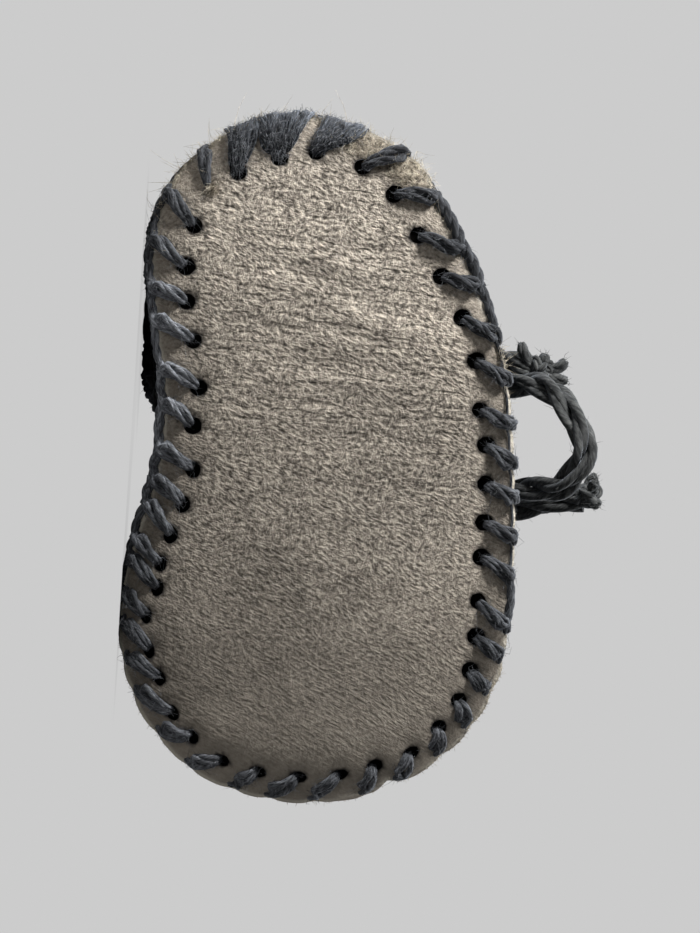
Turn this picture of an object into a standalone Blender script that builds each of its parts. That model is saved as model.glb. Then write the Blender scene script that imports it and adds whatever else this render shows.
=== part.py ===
"""Knitted baby bootie with a leather sole, for the right foot, lying empty on its inner side.

Metres, +Z up. Along the shoe is +X, from heel to toe. Up from the sole is +Y. Across the shoe, from its
inner (big toe) side to its outer side, is +Z, because the bootie lies on its inner side, on the plane z = 0.
Sizes below are in millimetres.
"""

import math
from collections import namedtuple

import bmesh
import bpy
from mathutils import Vector

MM = 0.001

# Driving dimensions.
LENGTH = 121.7
WIDTH = 69.5
COLLAR_HEIGHT = 84.0
ORIGIN_ALONG = LENGTH / 2
ORIGIN_HEIGHT = COLLAR_HEIGHT / 2
GAP = 0.3
CURVE_STEPS = 12

# Sole: leather of one thickness, flat in its middle, its edge cupped up by the stitching.
LEATHER = 1.8
MARGIN = 14.0
EDGE_CUP = 1.5
TOE_SPRING = 3.0
HEEL_LIFT = 0.8
TOE_SPRING_START = 82.0
HEEL_LIFT_END = 26.0
SOLE_INSETS = (0.0, 2.5, 6.0, 10.0, MARGIN)
RING_POINTS = 52

# Upper: one knitted wall, and the seat of its bottom edge on the margin of the sole.
WALL = 3.0
UPPER_RINGS_PER_SECTION = 2
LIFT_FADE_HEIGHT = 36.0
LIFT_FADE_POWER = 1.5

# Cord.
CORD = 4.0
CORD_SPACING = 4.6
ROUND_POINTS = 56
ROUND_CLEARANCE = 0.7
BOW_KNOT_SIZE = (4.6, 4.2, 4.4)
END_KNOT_SIZE = (2.7, 2.5, 2.6)

# Outline of the sole, from the heel by the outer side to the toe and back by the inner side.
OutlinePoint = namedtuple("OutlinePoint", "along across")
SOLE_OUTLINE = [
    OutlinePoint(0.0, 25.5),
    OutlinePoint(1.7, 36.6),
    OutlinePoint(6.6, 46.8),
    OutlinePoint(15.6, 53.9),
    OutlinePoint(28.0, 61.0),
    OutlinePoint(43.5, 66.2),
    OutlinePoint(61.0, 68.6),
    OutlinePoint(78.0, 69.5),
    OutlinePoint(94.0, 68.4),
    OutlinePoint(107.5, 62.6),
    OutlinePoint(117.0, 51.2),
    OutlinePoint(121.7, 34.5),
    OutlinePoint(118.3, 17.0),
    OutlinePoint(108.5, 5.3),
    OutlinePoint(94.0, -0.2),
    OutlinePoint(80.0, 1.0),
    OutlinePoint(66.0, 4.7),
    OutlinePoint(51.5, 4.9),
    OutlinePoint(37.0, 1.5),
    OutlinePoint(24.0, -0.3),
    OutlinePoint(12.5, 3.9),
    OutlinePoint(3.9, 13.8),
]

# Level sections of the upper's outside, from the seam to the collar. Back and front are measured along,
# inner and outer across, and roundness turns the sole's outline into an oval.
Section = namedtuple("Section", "height back front inner outer roundness")
UPPER_SECTIONS = [
    Section(2.1, 0.8, 120.9, 0.8, 68.7, 0.00),
    Section(7.0, 0.1, 121.6, 0.0, 69.4, 0.00),
    Section(12.0, 0.0, 121.5, 0.0, 69.2, 0.03),
    Section(17.0, 0.3, 119.7, 0.3, 68.1, 0.08),
    Section(22.0, 0.9, 115.9, 1.0, 66.4, 0.16),
    Section(27.0, 1.7, 109.6, 1.9, 64.1, 0.27),
    Section(32.0, 2.5, 100.8, 2.9, 61.3, 0.41),
    Section(37.0, 3.5, 91.2, 3.7, 58.2, 0.56),
    Section(42.0, 4.5, 81.8, 4.1, 55.0, 0.71),
    Section(47.0, 5.7, 73.6, 4.3, 51.9, 0.85),
    Section(51.5, 7.1, 67.6, 4.6, 49.2, 0.95),
    Section(55.5, 8.6, 64.2, 5.6, 46.8, 1.00),
    Section(59.5, 7.6, 65.0, 3.0, 47.2, 1.00),
    Section(65.0, 6.2, 66.9, 0.4, 48.0, 1.00),
    Section(71.0, 5.4, 68.0, -0.8, 48.5, 1.00),
    Section(78.0, 5.0, 68.6, -1.1, 48.8, 1.00),
    Section(COLLAR_HEIGHT, 5.2, 68.3, -0.8, 48.5, 1.00),
]
ROUND_HEIGHT = 55.5

# Routes of the free ends of the cord: millimetres along, height above the sole, across.
RoutePoint = namedtuple("RoutePoint", "along height across")
BOW_KNOT = RoutePoint(60.6, 55.5, 49.6)
OUTER_LOOP = [
    RoutePoint(58.2, 50.6, 53.0),
    RoutePoint(52.6, 43.0, 58.0),
    RoutePoint(47.0, 33.4, 65.0),
    RoutePoint(44.5, 25.0, 72.1),
    RoutePoint(46.9, 18.5, 77.4),
    RoutePoint(55.4, 14.6, 82.2),
    RoutePoint(62.2, 17.0, 79.5),
    RoutePoint(64.0, 23.4, 73.6),
    RoutePoint(64.6, 32.6, 66.2),
    RoutePoint(64.0, 43.0, 58.9),
    RoutePoint(62.2, 50.4, 53.6),
]
FRONT_LOOP = [
    RoutePoint(65.2, 53.4, 47.4),
    RoutePoint(70.6, 51.6, 42.0),
    RoutePoint(76.2, 48.8, 34.0),
    RoutePoint(78.8, 47.8, 25.4),
    RoutePoint(77.2, 49.6, 16.9),
    RoutePoint(72.6, 54.4, 13.0),
    RoutePoint(68.8, 59.6, 17.0),
    RoutePoint(68.2, 61.6, 25.6),
    RoutePoint(66.8, 61.4, 34.4),
    RoutePoint(64.0, 60.2, 42.6),
    RoutePoint(63.0, 59.0, 46.6),
]
LONG_TAIL = [
    RoutePoint(65.4, 53.2, 52.2),
    RoutePoint(69.2, 46.4, 57.2),
    RoutePoint(70.4, 39.4, 63.2),
    RoutePoint(68.2, 33.0, 70.2),
    RoutePoint(66.4, 28.0, 76.0),
    RoutePoint(65.3, 24.6, 81.9),
]
SHORT_TAIL = [
    RoutePoint(55.6, 54.2, 52.0),
    RoutePoint(48.2, 48.8, 54.8),
    RoutePoint(42.0, 41.0, 59.0),
    RoutePoint(39.6, 36.0, 63.8),
    RoutePoint(40.2, 33.0, 68.4),
    RoutePoint(41.2, 31.0, 72.1),
]
LONG_TAIL_KNOT = RoutePoint(64.5, 23.1, 84.4)
SHORT_TAIL_KNOT = RoutePoint(41.9, 29.6, 74.6)

FINISHES = {
    "suede": ((0.38, 0.33, 0.26, 1.0), 0.95),
    "wool": ((0.055, 0.068, 0.085, 1.0), 0.95),
    "cord": ((0.085, 0.092, 0.098, 1.0), 0.9),
}


def place(along, height, across):
    """Point of the lying bootie in metres."""
    return Vector((along - ORIGIN_ALONG, height - ORIGIN_HEIGHT, across)) * MM


def clear_scene():
    for item in list(bpy.data.objects):
        bpy.data.objects.remove(item, do_unlink=True)


def finish_material(name):
    material = bpy.data.materials.get(name)
    if material is None:
        colour, roughness = FINISHES[name]
        material = bpy.data.materials.new(name)
        material.use_nodes = True
        shader = material.node_tree.nodes["Principled BSDF"]
        shader.inputs["Base Color"].default_value = colour
        shader.inputs["Roughness"].default_value = roughness
        shader.inputs["Metallic"].default_value = 0.0
    return material


def add_object(name, data, finish):
    item = bpy.data.objects.new(name, data)
    bpy.context.scene.collection.objects.link(item)
    data.materials.append(finish_material(finish))
    return item


def blend(a, b, share):
    return a + (b - a) * share


def smooth_point(p0, p1, p2, p3, t):
    """Catmull-Rom point between p1 and p2, for numbers or vectors."""
    a = 2 * p1
    b = p2 - p0
    c = 2 * p0 - 5 * p1 + 4 * p2 - p3
    d = 3 * p1 - p0 - 3 * p2 + p3
    return (a + b * t + c * (t * t) + d * (t * t * t)) * 0.5


def smooth_curve(points, closed):
    """Points of a smooth curve through the given ones."""
    count = len(points)
    spans = count if closed else count - 1
    curve = []
    for span in range(spans):
        if closed:
            near = [points[(span + k) % count] for k in (-1, 0, 1, 2)]
        else:
            near = [points[min(max(span + k, 0), count - 1)] for k in (-1, 0, 1, 2)]
        curve += [smooth_point(*near, step / CURVE_STEPS) for step in range(CURVE_STEPS)]
    if not closed:
        curve.append(points[-1].copy())
    return curve


def even_points(curve, closed, count):
    """Points at equal steps along a curve."""
    line = curve + [curve[0]] if closed else curve
    reach = [0.0]
    for a, b in zip(line, line[1:]):
        reach.append(reach[-1] + (b - a).length)
    gaps = count if closed else count - 1
    result = []
    k = 0
    for step in range(count):
        target = reach[-1] * step / gaps
        while k < len(line) - 2 and reach[k + 1] < target:
            k += 1
        span = reach[k + 1] - reach[k]
        result.append(line[k].lerp(line[k + 1], (target - reach[k]) / span))
    return result


def curve_length(curve):
    return sum((b - a).length for a, b in zip(curve, curve[1:]))


def sole_outline():
    points = [Vector((p.along, p.across)) for p in SOLE_OUTLINE]
    return even_points(smooth_curve(points, True), True, RING_POINTS)


def inset_ring(ring, distance):
    """Outline moved inwards by a distance, and kept above the floor."""
    count = len(ring)
    moved = []
    for k, point in enumerate(ring):
        ahead = (ring[(k + 1) % count] - ring[k - 1]).normalized()
        inwards = Vector((ahead.y, -ahead.x))
        moved.append(point + inwards * distance)
    return [Vector((p.x, max(p.y, distance))) for p in moved]


def toe_share(along):
    return max(0.0, (along - TOE_SPRING_START) / (LENGTH - TOE_SPRING_START)) ** 2


def heel_share(along):
    return max(0.0, (HEEL_LIFT_END - along) / HEEL_LIFT_END) ** 2


def sole_rise(along, inset):
    """Height of the underside of the sole: nothing in its middle, and cupped up towards its edge."""
    if inset >= MARGIN:
        return 0.0
    edge = EDGE_CUP + TOE_SPRING * toe_share(along) + HEEL_LIFT * heel_share(along)
    return edge * (1 - inset / MARGIN) ** 2


def bridge(mesh, lower, upper):
    count = len(lower)
    for k in range(count):
        after = (k + 1) % count
        mesh.faces.new((lower[k], lower[after], upper[after], upper[k]))


def close_mesh(mesh, name):
    bmesh.ops.recalc_face_normals(mesh, faces=mesh.faces)
    data = bpy.data.meshes.new(name)
    mesh.to_mesh(data)
    mesh.free()
    data.shade_smooth()
    data.set_sharp_from_angle(angle=math.radians(50))
    return data


def build_sole():
    outline = sole_outline()
    mesh = bmesh.new()
    loops = []
    for base, insets in ((0.0, reversed(SOLE_INSETS)), (LEATHER, SOLE_INSETS)):
        for inset in insets:
            ring = inset_ring(outline, inset)
            heights = [base + sole_rise(p.x, inset) for p in ring]
            loops.append([mesh.verts.new(place(p.x, h, p.y)) for p, h in zip(ring, heights)])
    for lower, upper in zip(loops, loops[1:]):
        bridge(mesh, lower, upper)
    mesh.faces.new(list(reversed(loops[0])))
    mesh.faces.new(loops[-1])
    return add_object("sole", close_mesh(mesh, "sole"), "suede")


def section_between(sections, position):
    """Section at a fractional place in the table, on a smooth curve through its rows."""
    row = min(int(position), len(sections) - 2)
    near = [sections[min(max(row + k, 0), len(sections) - 1)] for k in (-1, 0, 1, 2)]
    return Section(*[smooth_point(*column, position - row) for column in zip(*near)])


def section_ring(outline, section):
    """Points of one level section: the sole's outline fitted to the section's box and rounded."""
    ring = []
    for point in outline:
        flat = Vector((point.x / LENGTH - 0.5, point.y / WIDTH - 0.5))
        oval = flat.normalized() * 0.5
        shape = flat.lerp(oval, section.roundness)
        along = blend(section.back, section.front, shape.x + 0.5)
        across = blend(section.inner, section.outer, shape.y + 0.5)
        ring.append(Vector((along, max(across, 0.0))))
    return ring


def wall_height(along, section):
    """Height of a point of the upper, lifted by the toe spring and the cupped edge near the sole."""
    seat = LEATHER + GAP + sole_rise(along, 0.0)
    fade = max(0.0, 1 - section.height / LIFT_FADE_HEIGHT)
    return section.height + (seat - UPPER_SECTIONS[0].height) * fade ** LIFT_FADE_POWER


def build_upper():
    outline = sole_outline()
    mesh = bmesh.new()
    loops = []
    steps = (len(UPPER_SECTIONS) - 1) * UPPER_RINGS_PER_SECTION
    for step in range(steps + 1):
        section = section_between(UPPER_SECTIONS, step / UPPER_RINGS_PER_SECTION)
        ring = section_ring(outline, section)
        loops.append([mesh.verts.new(place(p.x, wall_height(p.x, section), p.y)) for p in ring])
    for lower, upper in zip(loops, loops[1:]):
        bridge(mesh, lower, upper)
    item = add_object("upper", close_mesh(mesh, "upper"), "wool")
    wall = item.modifiers.new("wall", "SOLIDIFY")
    wall.thickness = WALL * MM
    wall.offset = -1.0
    return item


def cord_object(name, points, closed):
    """Tube of the cord's thickness along points in metres."""
    data = bpy.data.curves.new(name, "CURVE")
    data.dimensions = "3D"
    data.bevel_depth = CORD / 2 * MM
    data.bevel_resolution = 2
    data.render_resolution_u = 0
    data.use_fill_caps = not closed
    spline = data.splines.new("POLY")
    spline.points.add(len(points) - 1)
    spline.use_cyclic_u = closed
    for spot, point in zip(spline.points, points):
        spot.co = (*point, 1.0)
    return add_object(name, data, "cord")


def build_ankle_round():
    """The stretch of cord drawn round the ankle, lying in the groove that it pulls into the knitting."""
    section = next(row for row in UPPER_SECTIONS if row.height == ROUND_HEIGHT)
    reach = CORD / 2 + ROUND_CLEARANCE
    ring = []
    for k in range(ROUND_POINTS):
        angle = 2 * math.pi * k / ROUND_POINTS
        half_along = (section.front - section.back) / 2
        half_across = (section.outer - section.inner) / 2
        outwards = Vector((math.cos(angle) / half_along, math.sin(angle) / half_across)).normalized()
        along = section.back + half_along * (1 + math.cos(angle)) + outwards.x * reach
        across = section.inner + half_across * (1 + math.sin(angle)) + outwards.y * reach
        ring.append(place(along, ROUND_HEIGHT, across))
    return cord_object("cord_round_ankle", ring, True)


def build_free_cord(name, route):
    curve = smooth_curve([place(*point) for point in route], False)
    count = max(4, round(curve_length(curve) / (CORD_SPACING * MM)) + 1)
    return cord_object(name, even_points(curve, False, count), False)


def build_knot(name, centre, size, subdivisions):
    mesh = bmesh.new()
    bmesh.ops.create_icosphere(mesh, subdivisions=subdivisions, radius=1.0)
    bmesh.ops.scale(mesh, vec=Vector(size) * MM, verts=mesh.verts)
    bmesh.ops.translate(mesh, vec=place(*centre), verts=mesh.verts)
    return add_object(name, close_mesh(mesh, name), "cord")


def main():
    clear_scene()
    build_sole()
    build_upper()
    build_ankle_round()
    build_knot("bow_knot", BOW_KNOT, BOW_KNOT_SIZE, 3)
    build_free_cord("bow_loop_outer", OUTER_LOOP)
    build_free_cord("bow_loop_front", FRONT_LOOP)
    build_free_cord("cord_tail_long", LONG_TAIL)
    build_free_cord("cord_tail_short", SHORT_TAIL)
    build_knot("tail_knot_long", LONG_TAIL_KNOT, END_KNOT_SIZE, 2)
    build_knot("tail_knot_short", SHORT_TAIL_KNOT, END_KNOT_SIZE, 2)


main()
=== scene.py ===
"""Looks of a knitted baby bootie with a leather sole, lying empty on its inner side.

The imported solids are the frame. Sizes in the tables below are in millimetres, measured along the shoe from
its heel, up from its sole, and across from its inner side, and place() turns them into the frame's metres.
"""

import math
from collections import namedtuple

import bmesh
import bpy
import numpy as np
from bpy.props import FloatProperty, FloatVectorProperty, IntProperty, PointerProperty
from mathutils import Matrix, Vector, noise


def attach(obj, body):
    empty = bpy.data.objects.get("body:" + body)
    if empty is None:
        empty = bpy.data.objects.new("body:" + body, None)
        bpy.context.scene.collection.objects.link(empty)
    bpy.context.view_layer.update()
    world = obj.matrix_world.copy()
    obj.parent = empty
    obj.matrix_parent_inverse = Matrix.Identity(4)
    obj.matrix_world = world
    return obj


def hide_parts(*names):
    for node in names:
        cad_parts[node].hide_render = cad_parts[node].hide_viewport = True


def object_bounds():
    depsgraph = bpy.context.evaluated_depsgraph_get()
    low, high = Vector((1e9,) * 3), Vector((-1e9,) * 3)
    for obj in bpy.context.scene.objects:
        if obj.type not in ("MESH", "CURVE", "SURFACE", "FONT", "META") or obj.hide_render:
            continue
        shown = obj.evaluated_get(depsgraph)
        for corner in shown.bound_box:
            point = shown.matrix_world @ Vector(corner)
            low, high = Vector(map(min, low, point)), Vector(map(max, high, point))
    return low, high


bl_info = {
    "name": "Knitted Bootie",
    "version": (1, 0, 0),
    "blender": (4, 5, 0),
    "location": "View3D > Sidebar > Bootie",
    "description": "Leather, yarn, stitches and cords of a knitted baby bootie, around its solids",
    "category": "Object",
}

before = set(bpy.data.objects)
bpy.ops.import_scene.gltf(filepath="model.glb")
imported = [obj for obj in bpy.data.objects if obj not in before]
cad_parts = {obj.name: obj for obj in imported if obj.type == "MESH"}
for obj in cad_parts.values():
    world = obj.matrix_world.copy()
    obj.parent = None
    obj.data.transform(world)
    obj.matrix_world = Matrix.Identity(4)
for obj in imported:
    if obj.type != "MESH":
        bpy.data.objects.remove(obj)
CAD_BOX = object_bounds()
BODY = "root"
MM = 0.001

# Sole, as in its solid: a flat middle, and a margin that is cupped up by the stitching.
LENGTH = 121.7
WIDTH = 69.5
MARGIN = 14.0
EDGE_CUP = 1.5
TOE_SPRING = 3.0
HEEL_LIFT = 0.8
TOE_SPRING_START = 82.0
HEEL_LIFT_END = 26.0

# Steps of the outline, and how far round it the middle of the toe lies, as a share.
OUTLINE_POINTS = 336
TOE_SHARE = 0.507

# Width of the edge that the stitches curl up, and how high the leather stays off the floor.
CURL_WIDTH = 3.0
FLOOR_GAP = 0.15

# Outline of the sole, from the heel by the outer side to the toe and back by the inner side.
OutlinePoint = namedtuple("OutlinePoint", "along across")
SOLE_OUTLINE = [
    OutlinePoint(0.0, 25.5),
    OutlinePoint(1.7, 36.6),
    OutlinePoint(6.6, 46.8),
    OutlinePoint(15.6, 53.9),
    OutlinePoint(28.0, 61.0),
    OutlinePoint(43.5, 66.2),
    OutlinePoint(61.0, 68.6),
    OutlinePoint(78.0, 69.5),
    OutlinePoint(94.0, 68.4),
    OutlinePoint(107.5, 62.6),
    OutlinePoint(117.0, 51.2),
    OutlinePoint(121.7, 34.5),
    OutlinePoint(118.3, 17.0),
    OutlinePoint(108.5, 5.3),
    OutlinePoint(94.0, -0.2),
    OutlinePoint(80.0, 1.0),
    OutlinePoint(66.0, 4.7),
    OutlinePoint(51.5, 4.9),
    OutlinePoint(37.0, 1.5),
    OutlinePoint(24.0, -0.3),
    OutlinePoint(12.5, 3.9),
    OutlinePoint(3.9, 13.8),
]

# Middle line that the rings of the leather close on.
SPINE_HEEL = (30.0, 27.0)
SPINE_TOE = (92.0, 35.0)

# Seam, stitch by stitch from the inner side of the heel: how far round the outline and how far inside it the
# hole lies, how far the stitch leans ahead on its way to the edge, how far inside the edge it tucks under,
# and the hole's length towards the edge as a share of its width.
Stitch = namedtuple("Stitch", "arc inset lean tuck squash")
STITCHES = [
    Stitch(-22.5, 6.6, 4.5, 0.2, 1.0),
    Stitch(-14.5, 7.2, 5.0, 0.0, 1.05),
    Stitch(-4.5, 7.5, 2.8, 0.0, 1.0),
    Stitch(5.0, 6.5, 4.2, 0.0, 1.0),
    Stitch(15.0, 6.2, 5.6, 0.0, 1.0),
    Stitch(25.5, 6.8, 5.0, 0.0, 1.1),
    Stitch(35.0, 7.0, 5.8, 0.0, 1.1),
    Stitch(44.0, 6.7, 4.3, 0.0, 1.1),
    Stitch(53.0, 5.8, 5.0, 0.0, 1.05),
    Stitch(61.5, 5.4, 4.5, 0.0, 1.15),
    Stitch(71.0, 5.9, 2.8, 0.0, 1.05),
    Stitch(77.5, 5.2, 3.5, 0.1, 1.1),
    Stitch(84.5, 5.5, 2.6, 0.1, 1.05),
    Stitch(91.5, 5.8, 2.6, 0.1, 1.1),
    Stitch(98.0, 6.1, 2.9, 0.2, 1.1),
    Stitch(106.0, 6.2, 4.0, 0.2, 1.0),
    Stitch(113.0, 5.6, 2.6, 0.5, 1.05),
    Stitch(120.0, 4.8, 2.0, 0.8, 1.0),
    Stitch(126.5, 4.2, 2.6, 0.9, 0.92),
    Stitch(133.5, 3.9, 3.0, 0.9, 0.84),
    Stitch(141.0, 3.3, 3.8, 0.9, 0.7),
    Stitch(148.5, 4.0, 3.0, 1.0, 0.75),
    Stitch(155.5, 4.1, 5.2, 1.0, 0.62),
    Stitch(164.0, 4.2, 4.6, 0.8, 0.66),
    Stitch(172.0, 4.0, 3.4, 0.8, 0.62),
    Stitch(179.5, 3.8, 4.8, 0.8, 0.68),
    Stitch(187.5, 4.4, 5.0, 0.7, 0.72),
    Stitch(194.0, 4.7, 7.2, 0.7, 0.72),
    Stitch(202.0, 5.6, 5.6, 0.7, 0.7),
    Stitch(208.0, 5.2, 6.2, 0.6, 0.66),
    Stitch(215.5, 5.2, 3.8, 0.4, 0.66),
    Stitch(221.5, 6.3, 4.2, 0.1, 0.7),
    Stitch(226.0, 5.8, 3.4, 0.0, 0.75),
    Stitch(232.0, 5.9, 3.8, 0.0, 0.8),
    Stitch(237.5, 6.0, 2.7, 0.0, 0.85),
    Stitch(243.0, 6.4, 3.0, 0.0, 0.95),
    Stitch(250.0, 5.6, 4.0, 0.0, 1.0),
    Stitch(256.0, 6.7, 3.8, 0.0, 1.05),
    Stitch(263.5, 7.1, 5.3, 0.0, 1.0),
    Stitch(271.0, 7.2, 3.4, 0.0, 1.1),
    Stitch(277.5, 7.9, 6.2, 0.0, 1.1),
    Stitch(289.0, 8.3, 4.0, 0.0, 1.05),
]
HOLES = len(STITCHES)

# The stitch that fills its hole, and those that are clumps of loose strands.
PLUGGED = 0
CLUMPS = (1, 2, 3)

# How deep and how wide the seam presses into the leather, under a strand and round a hole, and how far a
# stitch pulls in the cut edge.
Dent = namedtuple("Dent", "depth width")
STRAND_DENT = Dent(0.30, 1.5)
HOLE_DENT = Dent(0.22, 2.2)
EDGE_PULL = Dent(0.45, 1.5)

# The edge: how far the cut of the leather lies inside the outline, and for the yarn between stitches its
# place past the cut, its depth below the leather and its thickness.
EdgeZone = namedtuple("EdgeZone", "arc cut ahead out thickness")
EDGE_ZONES = [
    EdgeZone(-44.0, 1.8, 0.6, -0.2, 1.9),
    EdgeZone(-36.0, 2.0, 0.6, -0.3, 1.9),
    EdgeZone(-28.0, 1.2, 0.5, -0.5, 1.5),
    EdgeZone(-19.0, 0.2, 0.1, -1.3, 0.8),
    EdgeZone(8.0, 0.3, 0.2, -1.3, 0.9),
    EdgeZone(14.0, -0.2, 0.2, -1.3, 0.9),
    EdgeZone(27.0, -0.1, 0.2, -0.9, 1.2),
    EdgeZone(32.0, 1.3, 0.9, 0.0, 2.5),
    EdgeZone(50.0, 1.5, 0.9, 0.0, 2.3),
    EdgeZone(56.0, 1.1, 0.3, 0.1, 1.5),
    EdgeZone(61.0, 0.5, -0.5, 0.25, 0.7),
    EdgeZone(72.0, 0.2, -0.95, 0.2, 0.5),
    EdgeZone(101.0, 0.1, -0.8, 0.2, 0.6),
    EdgeZone(104.0, 0.4, 0.1, 0.2, 1.7),
    EdgeZone(109.0, 0.4, 0.1, 0.1, 1.6),
    EdgeZone(112.0, 0.0, -0.2, -0.6, 0.9),
    EdgeZone(118.0, -0.7, -0.2, -1.4, 0.7),
    EdgeZone(138.0, -0.7, 0.0, -1.5, 0.7),
    EdgeZone(144.5, -1.1, 0.0, -1.5, 0.7),
    EdgeZone(152.0, -1.4, 0.0, -1.6, 0.7),
    EdgeZone(157.0, -0.9, 0.0, -1.6, 0.7),
    EdgeZone(176.0, -0.8, 0.0, -1.6, 0.7),
    EdgeZone(184.0, -0.6, 0.0, -1.6, 0.7),
    EdgeZone(189.0, -0.1, 0.0, -1.6, 0.7),
    EdgeZone(204.0, 0.0, 0.0, -1.4, 0.7),
    EdgeZone(216.0, 0.2, 0.3, -0.6, 1.0),
    EdgeZone(226.0, 0.1, 0.8, -0.3, 1.5),
    EdgeZone(240.0, 0.0, 0.9, 0.0, 2.0),
    EdgeZone(252.0, 0.4, 0.8, 0.0, 2.0),
    EdgeZone(262.0, 0.8, 0.6, -0.2, 1.6),
]

# The one place at the toe where the leather is pinched in.
Notch = namedtuple("Notch", "arc before after depth")
NOTCH = Notch(146.9, 1.0, 2.4, 1.7)

# Loose strands over the edge of the heel: from which hole, over which stretch of the edge ahead of it, how
# many, how high they lie and how thick they are.
Fan = namedtuple("Fan", "stitch first last strands height radius")
FANS = [
    Fan(1, 2.2, 8.2, 42, 0.30, 0.20),
    Fan(2, -2.4, 2.6, 28, 0.25, 0.20),
    Fan(2, 0.2, 7.6, 44, 0.75, 0.20),
    Fan(3, 0.6, 7.8, 44, 0.50, 0.20),
]

# Loose pale hairs: about which place round the sole and how far spread, between which distances from its
# edge, how long, how many, and how much they scatter.
Tuft = namedtuple("Tuft", "arc spread near far length hairs scatter")
TUFTS = [
    Tuft(-6.0, 12.0, 0.0, 0.6, 1.9, 620, 3.0),
    Tuft(-6.0, 10.0, 0.0, 0.4, 3.4, 40, 1.4),
    Tuft(-26.0, 6.0, 0.0, 0.6, 4.0, 60, 1.6),
    Tuft(-21.6, 0.8, 5.6, 7.6, 1.8, 110, 3.0),
    Tuft(10.5, 2.4, 0.0, 4.8, 1.8, 300, 3.0),
    Tuft(20.5, 3.6, 0.0, 5.0, 2.0, 420, 3.0),
    Tuft(28.0, 5.0, 0.0, 0.6, 1.8, 160, 2.2),
    Tuft(23.0, 1.6, 0.0, 0.6, 4.2, 14, 1.2),
    Tuft(62.0, 3.0, 0.0, 1.0, 2.0, 140, 2.4),
    Tuft(128.0, 12.0, 0.0, 0.3, 0.7, 240, 3.0),
]

# Long single hairs at the heel: root on the edge, length, and how far the tip leans along the edge.
LongHair = namedtuple("LongHair", "arc length lean")
LONG_HAIRS = [
    LongHair(-11.5, 8.0, 0.55),
    LongHair(9.8, 8.0, -0.48),
    LongHair(-3.0, 3.4, 0.5),
    LongHair(-18.0, 3.0, -0.7),
    LongHair(24.0, 3.6, 0.5),
]

# Soft wrinkles of the leather, across the sole: middle, half length, width, depth and turn in degrees.
Wrinkle = namedtuple("Wrinkle", "along across half_length width depth turn")
WRINKLES = [
    Wrinkle(17.5, 33.0, 13.0, 2.2, 0.16, 4.0),
    Wrinkle(23.0, 38.0, 15.0, 2.0, 0.20, 2.0),
    Wrinkle(28.5, 29.0, 13.0, 1.8, 0.18, 5.0),
    Wrinkle(33.5, 40.0, 16.0, 2.0, 0.22, 3.0),
    Wrinkle(38.5, 30.0, 14.0, 1.8, 0.20, 1.0),
    Wrinkle(44.0, 37.0, 17.0, 2.2, 0.22, 4.0),
    Wrinkle(50.5, 30.0, 12.0, 2.0, 0.14, 3.0),
    Wrinkle(57.0, 42.0, 12.0, 2.4, 0.12, 6.0),
    Wrinkle(72.0, 28.0, 14.0, 3.0, 0.10, 12.0),
    Wrinkle(88.0, 40.0, 13.0, 3.4, 0.12, -14.0),
    Wrinkle(101.0, 27.0, 11.0, 3.0, 0.14, -20.0),
]

# The skin's own unevenness: its height, how often it turns in a millimetre, and a layer of the noise.
Wave = namedtuple("Wave", "height along across layer")
WAVES = [
    Wave(0.45, 0.055, 0.06, 3.1),
    Wave(0.10, 0.19, 0.21, 7.7),
]

# Level sections of the upper's outside, from the seam to the collar, as in its solid.
Section = namedtuple("Section", "height back front inner outer roundness")
UPPER_SECTIONS = [
    Section(2.1, 0.8, 120.9, 0.8, 68.7, 0.00),
    Section(7.0, 0.1, 121.6, 0.0, 69.4, 0.00),
    Section(12.0, 0.0, 121.5, 0.0, 69.2, 0.03),
    Section(17.0, 0.3, 119.7, 0.3, 68.1, 0.08),
    Section(22.0, 0.9, 115.9, 1.0, 66.4, 0.16),
    Section(27.0, 1.7, 109.6, 1.9, 64.1, 0.27),
    Section(32.0, 2.5, 100.8, 2.9, 61.3, 0.41),
    Section(37.0, 3.5, 91.2, 3.7, 58.2, 0.56),
    Section(42.0, 4.5, 81.8, 4.1, 55.0, 0.71),
    Section(47.0, 5.7, 73.6, 4.3, 51.9, 0.85),
    Section(51.5, 7.1, 67.6, 4.6, 49.2, 0.95),
    Section(55.5, 8.6, 64.2, 5.6, 46.8, 1.00),
    Section(59.5, 7.6, 65.0, 3.0, 47.2, 1.00),
    Section(65.0, 6.2, 66.9, 0.4, 48.0, 1.00),
    Section(71.0, 5.4, 68.0, -0.8, 48.5, 1.00),
    Section(78.0, 5.0, 68.6, -1.1, 48.8, 1.00),
    Section(84.0, 5.2, 68.3, -0.8, 48.5, 1.00),
]
WALL = 3.0

# The upper starts this far above the underside of the leather, and follows its edge up to a height.
LEATHER_GAP = 2.1
LIFT_FADE_HEIGHT = 36.0
LIFT_FADE_POWER = 1.5

# Heights of the eyelet round, and of the knitting's ends below and above it.
NECK_HEIGHT = 55.5
FOOT_TOP = 53.4
CUFF_FOOT = 57.4
EYELETS = 12

# Knitting of the foot, its first rounds in garter stitch. Its last round ends along the flap over the instep.
FOOT_ROUNDS = 18
GARTER_ROUNDS = 4
SIDE_STITCHES = 33
TOE_STITCH = 3.5

# The flap. The outline's stretch to either side of the toe's middle runs up to the flap's end, and the
# stretch on from there runs up to the flap's side. The flap laps a little past the ends of the rounds.
TOE_HALF_FOOT = 45.0
SIDE_FOOT = 76.0
TOE_HALF_FLAP = 16.0
FLAP_LENGTH = 24.0
FLAP_LAP = 0.7
FLAP_ROWS = 8
FLAP_STITCHES = 9

# Ribbed cuff.
CUFF_ROUNDS = 9
CUFF_STITCHES = 48
RIB = 2
RIB_RELIEF = 0.45

# How far the lining lies inside both faces of the wall, in metres.
LINING_DEPTH = 0.00095

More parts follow.
